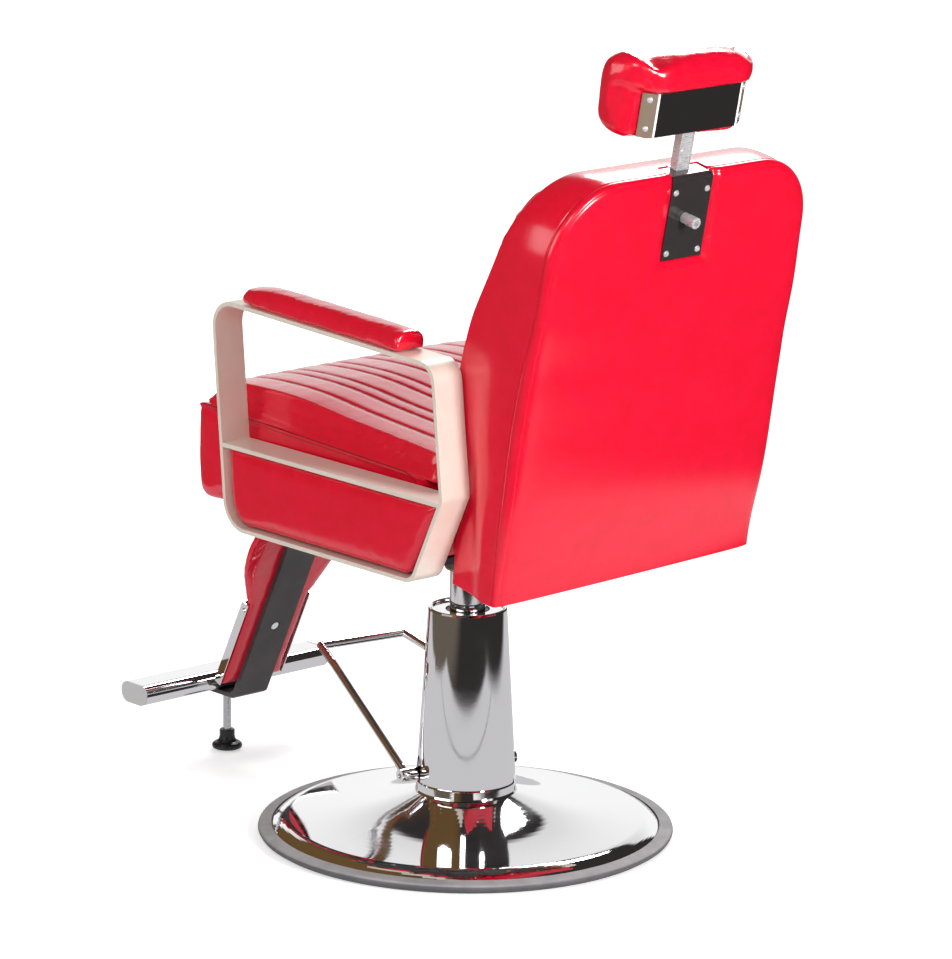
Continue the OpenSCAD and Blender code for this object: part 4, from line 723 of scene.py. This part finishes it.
BACK_LOW, BACK_TOP, BACK_HALF, BACK_CORNER = 0.447, 1.041, 0.240, 0.105
SOLID_CORNER = 0.112
FRONT_TOP, FRONT_CORNER = 1.046, 0.100
SHELL_SKIN, SHELL_CROWN = 0.020, 0.025
REAR_LINE = [(0.447, 0.318), (0.520, 0.328), (0.590, 0.340), (0.700, 0.358), (0.782, 0.375),
             (0.853, 0.397), (0.940, 0.413), (1.001, 0.429), (1.060, 0.445)]
FRONT_LINE = [(0.447, 0.222), (0.470, 0.225), (0.600, 0.231), (0.700, 0.236), (0.760, 0.239),
              (0.785, 0.247), (0.837, 0.270), (0.896, 0.303), (0.946, 0.329), (1.011, 0.361),
              (1.060, 0.379)]
PLATE_LEAN, PLATE_HALF = math.radians(11.5), 0.037
PLATE_FOOT = Vector((0, 0.427, 0.917))
STRETCH_FROM, STRETCH_SPAN = 0.79, 0.1385
RIM_FORWARD, SEAM_INSET, SEAM_DEPTH = 0.0085, 0.0078, 0.0011
SIDE_STOPS = [0.447, 0.4485, 0.452, 0.462, 0.480, 0.510, 0.550, 0.590, 0.625, 0.660, 0.690, 0.720,
              0.750, 0.775, 0.795, 0.815, 0.840, 0.865, 0.890, 0.912]


def on_line(line, height):
    """The value of a line of (height, value) stations at a height, smoothed a little."""
    heights, values = zip(*line)
    near = [np.interp(height + shift, heights, values) for shift in (-0.008, -0.003, 0.003, 0.008)]
    return float(np.mean(near))


def back_half(height):
    """Half the back's width at a height below its round corners."""
    return (BACK_HALF - 0.0045 + 0.0045 * float(ease(0.590, 0.690, height))
            + 0.004 * float(ease(0.795, 0.850, height)))


def rear_half(height):
    """Half the rear seam's width, where the side band has swollen out behind the arms."""
    return 0.2425 + 0.0038 * float(ease(0.47, 0.62, height)) - 0.0073 * float(ease(0.66, 0.96, height))


def edge_distance(x, z, half=back_half, top=BACK_TOP, corner=SOLID_CORNER):
    """How far inside one of the back's round-cornered outlines a place is."""
    over, above = abs(x) - (half(z) - corner), z - (top - corner)
    if over > 0 and above > 0:
        return corner - math.hypot(over, above)
    return min(half(z) - abs(x), top - z)


def rear_skin(x, z):
    """Where the padded rear skin stands."""
    inset = max(edge_distance(x, z, rear_half, BACK_TOP, BACK_CORNER), 0.0)
    rise = np.interp(inset, [0, 0.0006, 0.0022, 0.0055, 0.011, 0.026, 0.060, 0.110, 0.170, 0.240],
                     [0, 0.18, 0.37, 0.54, 0.66, 0.785, 0.885, 0.945, 0.98, 1.0])
    full = 0.40 + 0.62 * float(ease(BACK_LOW, 0.58, z)) - 0.26 * float(ease(0.74, 0.98, z))
    middle = 0.10 * float(ease(0.50, 0.62, z) * (1 - ease(0.74, 0.86, z)))
    return on_line(REAR_LINE, z) + 0.0018 + SHELL_CROWN * float(rise) * (full + middle)


def back_outline(half_at, top, corner):
    """An outline of the back with its normals, from one lower corner over the top to the other."""
    turn = top - corner
    half = half_at(top)
    stretch = (turn - STRETCH_FROM) / STRETCH_SPAN
    path = [(half_at(z), z if z < STRETCH_FROM else STRETCH_FROM + (z - STRETCH_FROM) * stretch, 1.0, 0.0)
            for z in SIDE_STOPS]
    path += [(half - corner + corner * math.cos(a), turn + corner * math.sin(a), math.cos(a), math.sin(a))
             for a in np.linspace(0, math.pi / 2, 15)]
    path += [((half - corner) * k / 7, top, 0.0, 1.0) for k in range(6, 0, -1)]
    return path + [(0.0, top, 0.0, 1.0)] + [(-x, z, -nx, nz) for x, z, nx, nz in path[::-1]]


def plate_dip(x, y, z):
    """How far the skin is drawn in beside the plate, whose edge it tucks under."""
    local = (Vector((x, y, z)) - PLATE_FOOT)
    local.rotate(Matrix.Rotation(PLATE_LEAN, 3, "X"))
    beside, below = max(0, abs(local.x) - PLATE_HALF), max(0, -local.z)
    out = math.hypot(beside, below)
    turn = math.atan2(beside, below + 0.0001) / (math.pi / 2)
    deep = 0.0038 + (0.0040 * turn if local.x < 0 else 0.0)
    soft = 1 - float(ease(0.0, 0.010 + 0.003 * turn, out))
    pucker = math.sin(out * 1300 + 9 * turn)
    corner = math.exp(-((abs(local.x) - PLATE_HALF) ** 2 + local.z ** 2) / 0.00012)
    return deep * soft + 0.0011 * pucker * corner * (1.0 if local.x < 0 else 0.3)


def section(behind, before):
    """The shell's section through its rear and front outlines: from the front's middle to the rear's."""
    x, z, nx, nz = behind
    fx, fz, fnx, fnz = before
    flat = 0.0 if z < BACK_LOW + 0.01 else 1.0
    forward = RIM_FORWARD * float(ease(0.70, 0.86, fz))
    made = []
    for inset, step in ((0.060, 0.0004), (0.020, 0.0003), (0.0078, 0.0002), (0.0064, -0.0010),
                        (0.0060, -0.0050), (0.0055, -0.0100), (0.0040, -0.0122), (0.0022, -0.0125),
                        (0.0008, -0.0112), (0.0, -0.0090)):
        high = fz - fnz * inset * flat
        rim = forward * float(1 - ease(0.0060, 0.0066, inset))
        made.append((fx - fnx * inset, on_line(FRONT_LINE, high) + SHELL_SKIN + step - rim, high))
    front, rear = on_line(FRONT_LINE, fz) + SHELL_SKIN - 0.0090 - forward, on_line(REAR_LINE, z)
    low = 1 - float(ease(BACK_LOW + 0.004, BACK_LOW + 0.050, z))
    beside_arm = 1 - float(ease(0.68, 0.80, z))
    for share in (0.10, 0.20, 0.32, 0.44, 0.56, 0.68, 0.79, 0.89):
        depth = front + (rear - 0.005 - front) * share
        clear = float(ease(0.272, 0.300, depth)) * beside_arm + share * (1 - beside_arm)
        swell = 0.0020 * math.sin(math.pi * share)
        made.append((fx + (x - fx) * clear + nx * swell, depth, fz + (z - fz) * share + nz * swell * flat))
    for inset, step in ((0.0, -0.0040), (0.0002, -0.0016), (0.0016, -0.0002), (0.0018, 0.0007),
                        (0.0003, 0.0022)):
        high = z - nz * inset * flat
        made.append((x - nx * inset, on_line(REAR_LINE, high) + step, high))
    made = [(px, py, pz + 0.12 * low * max(0, rear - py)) for px, py, pz in made]
    for inset in (0.0008, 0.0022, 0.0050, 0.0070, SEAM_INSET, 0.0086, 0.012, 0.020, 0.032, 0.050,
                  0.072, 0.097):
        px, pz = x - nx * inset, z - nz * inset * flat
        seam = SEAM_DEPTH * math.exp(-((inset - SEAM_INSET) / 0.0009) ** 2)
        made.append((px, rear_skin(px, pz) - seam, pz))
    return made


rear_path = back_outline(rear_half, BACK_TOP, BACK_CORNER)
front_path = back_outline(back_half, FRONT_TOP, FRONT_CORNER)
rings = [section(behind, before) for behind, before in zip(rear_path, front_path)]
form = bmesh.new()
strips = []
for ring in rings:
    x, y, z = ring[-1]
    height = min(z, BACK_TOP - 0.100)
    middle = [(x * share, height + (z - height) * share) for share in (0.78, 0.55, 0.32, 0.14, 0.0)]
    row = [(px, rear_skin(px, pz), pz) for px, pz in middle]
    x, y, z = ring[0]
    height = min(z, BACK_TOP - 0.100)
    middle = [(x * share, height + (z - height) * share) for share in (0.0, 0.5)]
    first = [(px, on_line(FRONT_LINE, pz) + SHELL_SKIN + 0.0004, pz) for px, pz in middle]
    strips.append([form.verts.new(place) for place in first + ring + row])
for row, following in zip(strips[:-1], strips[1:]):
    for a, b, c, d in zip(row[:-1], row[1:], following[1:], following[:-1]):
        form.faces.new((a, b, c, d))
bmesh.ops.remove_doubles(form, verts=form.verts, dist=0.00008)
bmesh.ops.dissolve_degenerate(form, edges=form.edges, dist=0.00005)
open_edges = [e for e in form.edges if e.is_boundary]
bmesh.ops.holes_fill(form, edges=open_edges, sides=0)
bmesh.ops.recalc_face_normals(form, faces=form.faces)
mesh = bpy.data.meshes.new("back_rear_cover")
form.to_mesh(mesh)
form.free()
shell = bpy.data.objects.new("back_rear_cover", mesh)
scene.collection.objects.link(shell)
smoother = shell.modifiers.new("smoother", "SUBSURF")
smoother.levels = smoother.render_levels = 2
settle(shell)
points, normals = points_of(shell)
behind = np.clip(normals[:, 1] * 3 - 0.6, 0, 1)
dips = np.array([plate_dip(*point) for point in points]) * behind
folds = 0.0006 * hills(points, 0.10, 29) * (1 - np.exp(-dips * 900))
askew = ((0.002 - 0.0055 * points[:, 0] / BACK_HALF) * (1 - ease(0.45, 0.58, points[:, 2]))
         * ease(0.24, 0.32, points[:, 1]))
set_points(shell, points + normals * folds[:, None] - np.array([[0, 1, 0]]) * dips[:, None]
           + np.array([[0, 0, 1]]) * askew[:, None])


def cutter(low, high, matrix=None):
    """A box that cuts a pocket."""
    block = bmesh.new()
    bmesh.ops.create_cube(block, size=1)
    for vert in block.verts:
        vert.co = Vector([low[i] + (vert.co[i] + 0.5) * (high[i] - low[i]) for i in range(3)])
        if matrix:
            vert.co = matrix @ vert.co
    bmesh.ops.recalc_face_normals(block, faces=block.faces)
    data = bpy.data.meshes.new("cutter")
    block.to_mesh(data)
    block.free()
    tool = bpy.data.objects.new("cutter", data)
    scene.collection.objects.link(tool)
    return tool


def carve(piece, tools):
    """Cuts the tools out of the piece and removes them."""
    for number, tool in enumerate(tools):
        cut = piece.modifiers.new("cut%d" % number, "BOOLEAN")
        cut.operation = "DIFFERENCE"
        cut.solver = "EXACT"
        cut.object = tool
    settle(piece)
    for tool in tools:
        bpy.data.objects.remove(tool)


# Pockets for the plate and its top flange, for the post's socket above and below the skin, and for the
# two back irons
plate_matrix = Matrix.Translation(PLATE_FOOT) @ Matrix.Rotation(-PLATE_LEAN, 4, "X")
carve(shell, [cutter((-0.0376, -0.0034, -0.0008), (0.0376, 0.06, 0.20), plate_matrix),
              cutter((-0.0376, -0.0362, 0.109), (0.0376, 0.06, 0.20), plate_matrix),
              cutter((-0.0151, -0.0400, -0.0010), (0.0151, 0.0005, 0.22), plate_matrix),
              cutter((-0.0151, -0.0400, -0.083), (0.0151, -0.0110, -0.0005), plate_matrix),
              cutter((0.144, 0.20, 0.478), (0.156, 0.272, 0.650)),
              cutter((-0.156, 0.20, 0.478), (-0.144, 0.272, 0.650))])
for face in shell.data.polygons:
    face.use_smooth = True
shell.data.materials.clear()
shell.data.materials.append(cherry)
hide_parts("back_shell")
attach(shell, "back")


RIM_TUCK, HIGH_BULGE = 0.0078, 0.0100


def grow(x, y, z):
    """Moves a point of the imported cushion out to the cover's fuller corners and in from the shell's rim."""
    behind_face = y - on_line(FRONT_LINE, z)
    old = (back_half(z) - SOLID_CORNER, BACK_TOP - SOLID_CORNER)
    new = (back_half(z) - FRONT_CORNER, FRONT_TOP - FRONT_CORNER)
    angle = math.atan2(max(0, z - old[1]), max(1e-6, abs(x) - old[0]))
    outer = (new[0] - old[0] + (FRONT_CORNER - SOLID_CORNER) * math.cos(angle),
             new[1] - old[1] + (FRONT_CORNER - SOLID_CORNER) * math.sin(angle))
    inside = max(edge_distance(x, z), 0.0)
    share = float(1 - ease(0.0, 0.09, inside)) * float(ease(0.78, 0.929, z))
    wide, high = abs(x) + outer[0] * share, z + outer[1] * share
    tucked = RIM_TUCK * float(ease(0.0045, 0.0075, behind_face)) * float(1 - ease(0.0, 0.05, inside))
    shift = math.atan2(max(0, high - new[1]), max(1e-6, wide - new[0]))
    wide, high = wide - tucked * math.cos(shift), high - tucked * math.sin(shift)
    bulge = HIGH_BULGE * float(ease(0.70, 0.86, high)) * float(1 - ease(0.010, 0.018, behind_face))
    return math.copysign(wide, x), y + on_line(FRONT_LINE, high) - on_line(FRONT_LINE, z) - bulge, high


rest = upholster("back_cushion", "back_cushion_cover", 0.005, 2, 4, 0.004, 0.002)
points, normals = points_of(rest)
set_points(rest, np.array([grow(*point) for point in points]))
points, normals = points_of(rest)
forward = np.clip(-normals[:, 1] * 1.6 - 0.4, 0, 1)
ends = ease(0.47, 0.52, points[:, 2]) * (1 - ease(0.985, 1.03, points[:, 2]))
gap = seam_gap(points[:, 0])
dip = -0.0035 * np.exp(-(gap / 0.0026) ** 2) - 0.0025 * np.clip(1 - gap / 0.012, 0, 1) ** 2
creases = 0.0009 * hills(points * np.array([1, 1, 0.6]), 0.03, 31, 4)
set_points(rest, points + normals * (dip * forward * ends + creases)[:, None])
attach(rest, "back")


# ---------------------------------------------------------------- headrest
# A saddle-shaped pad that turns round the ends of its plate, lower at its right end than at its left,
# and the heads of the screws that hold the plate's flanges to it.

PLATE_BED, FLANGE_SLOPE, FLANGE_TURN = -0.0174, 0.70, math.radians(35)
SCREW_ASIDE, SCREW_BEHIND, SCREW_RADIUS = 0.0092, -0.0203, 0.0042

pillow = upholster("headrest_pad", "headrest_cover", 0.004, 4, 4, 0.003, 0.002)
points, normals = points_of(pillow)
points += normals * (0.0006 * hills(points, 0.030, 37, 3))[:, None]
to_plate = np.array(Matrix.Rotation(PLATE_LEAN, 3, "X"))
plate_foot = np.array(PLATE_FOOT)
local = (points - plate_foot) @ to_plate.T
left, right = np.clip(local[:, 0], 0, 1), np.clip(-local[:, 0], 0, 1)
upper = ease(0.205, 0.262, local[:, 2])
lower = 1 - ease(0.172, 0.200, local[:, 2])
local[:, 2] += (0.0060 * ease(0.080, 0.112, left) * upper - 0.0135 * ease(0.060, 0.122, right) * upper
                - 0.0055 * lower * (1 - 0.7 * ease(0.0, 0.05, left)))
local[:, 1] -= 0.0070 * ease(0.092, 0.122, right)
local[:, 0] += (0.0090 * ease(0.096, 0.126, right) * (1 - 0.6 * upper)
                - 0.0045 * ease(0.100, 0.126, left) * (1 - upper))
beside = abs(local[:, 0])
bed = PLATE_BED - FLANGE_SLOPE * np.clip(beside - HEAD_PLATE_HALF, 0, HEAD_FLANGE_END - HEAD_PLATE_HALF)
near = ((1 - ease(HEAD_FLANGE_END + 0.0010, HEAD_FLANGE_END + 0.0045, beside))
        * ease(HEAD_PLATE_LOW - 0.004, HEAD_PLATE_LOW - 0.001, local[:, 2])
        * (1 - ease(HEAD_PLATE_TOP + 0.0005, HEAD_PLATE_TOP + 0.0040, local[:, 2])))
local[:, 1] -= np.clip(local[:, 1] - bed, 0, None) * near
set_points(pillow, local @ to_plate + plate_foot)
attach(pillow, "headrest")

heads = bmesh.new()
for end in (-1, 1):
    for height in (HEAD_PLATE_LOW + 0.012, HEAD_PLATE_TOP - 0.009):
        middle = Vector((end * (HEAD_PLATE_HALF + SCREW_ASIDE), SCREW_BEHIND, height))
        turned = Matrix.Rotation(-end * FLANGE_TURN, 4, "Z") @ Matrix.Rotation(-math.pi / 2, 4, "X")
        placed = plate_matrix @ Matrix.Translation(middle) @ turned
        made = bmesh.ops.create_uvsphere(heads, u_segments=32, v_segments=16, radius=SCREW_RADIUS)
        for vert in made["verts"]:
            vert.co.z = max(vert.co.z * 0.62, -0.0010)
            vert.co = placed @ vert.co
bmesh.ops.recalc_face_normals(heads, faces=heads.faces)
mesh = bpy.data.meshes.new("headrest_screw_heads")
heads.to_mesh(mesh)
heads.free()
for face in mesh.polygons:
    face.use_smooth = True
screws = bpy.data.objects.new("headrest_screw_heads", mesh)
scene.collection.objects.link(screws)
screws.data.materials.append(satin_steel)
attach(screws, "headrest")
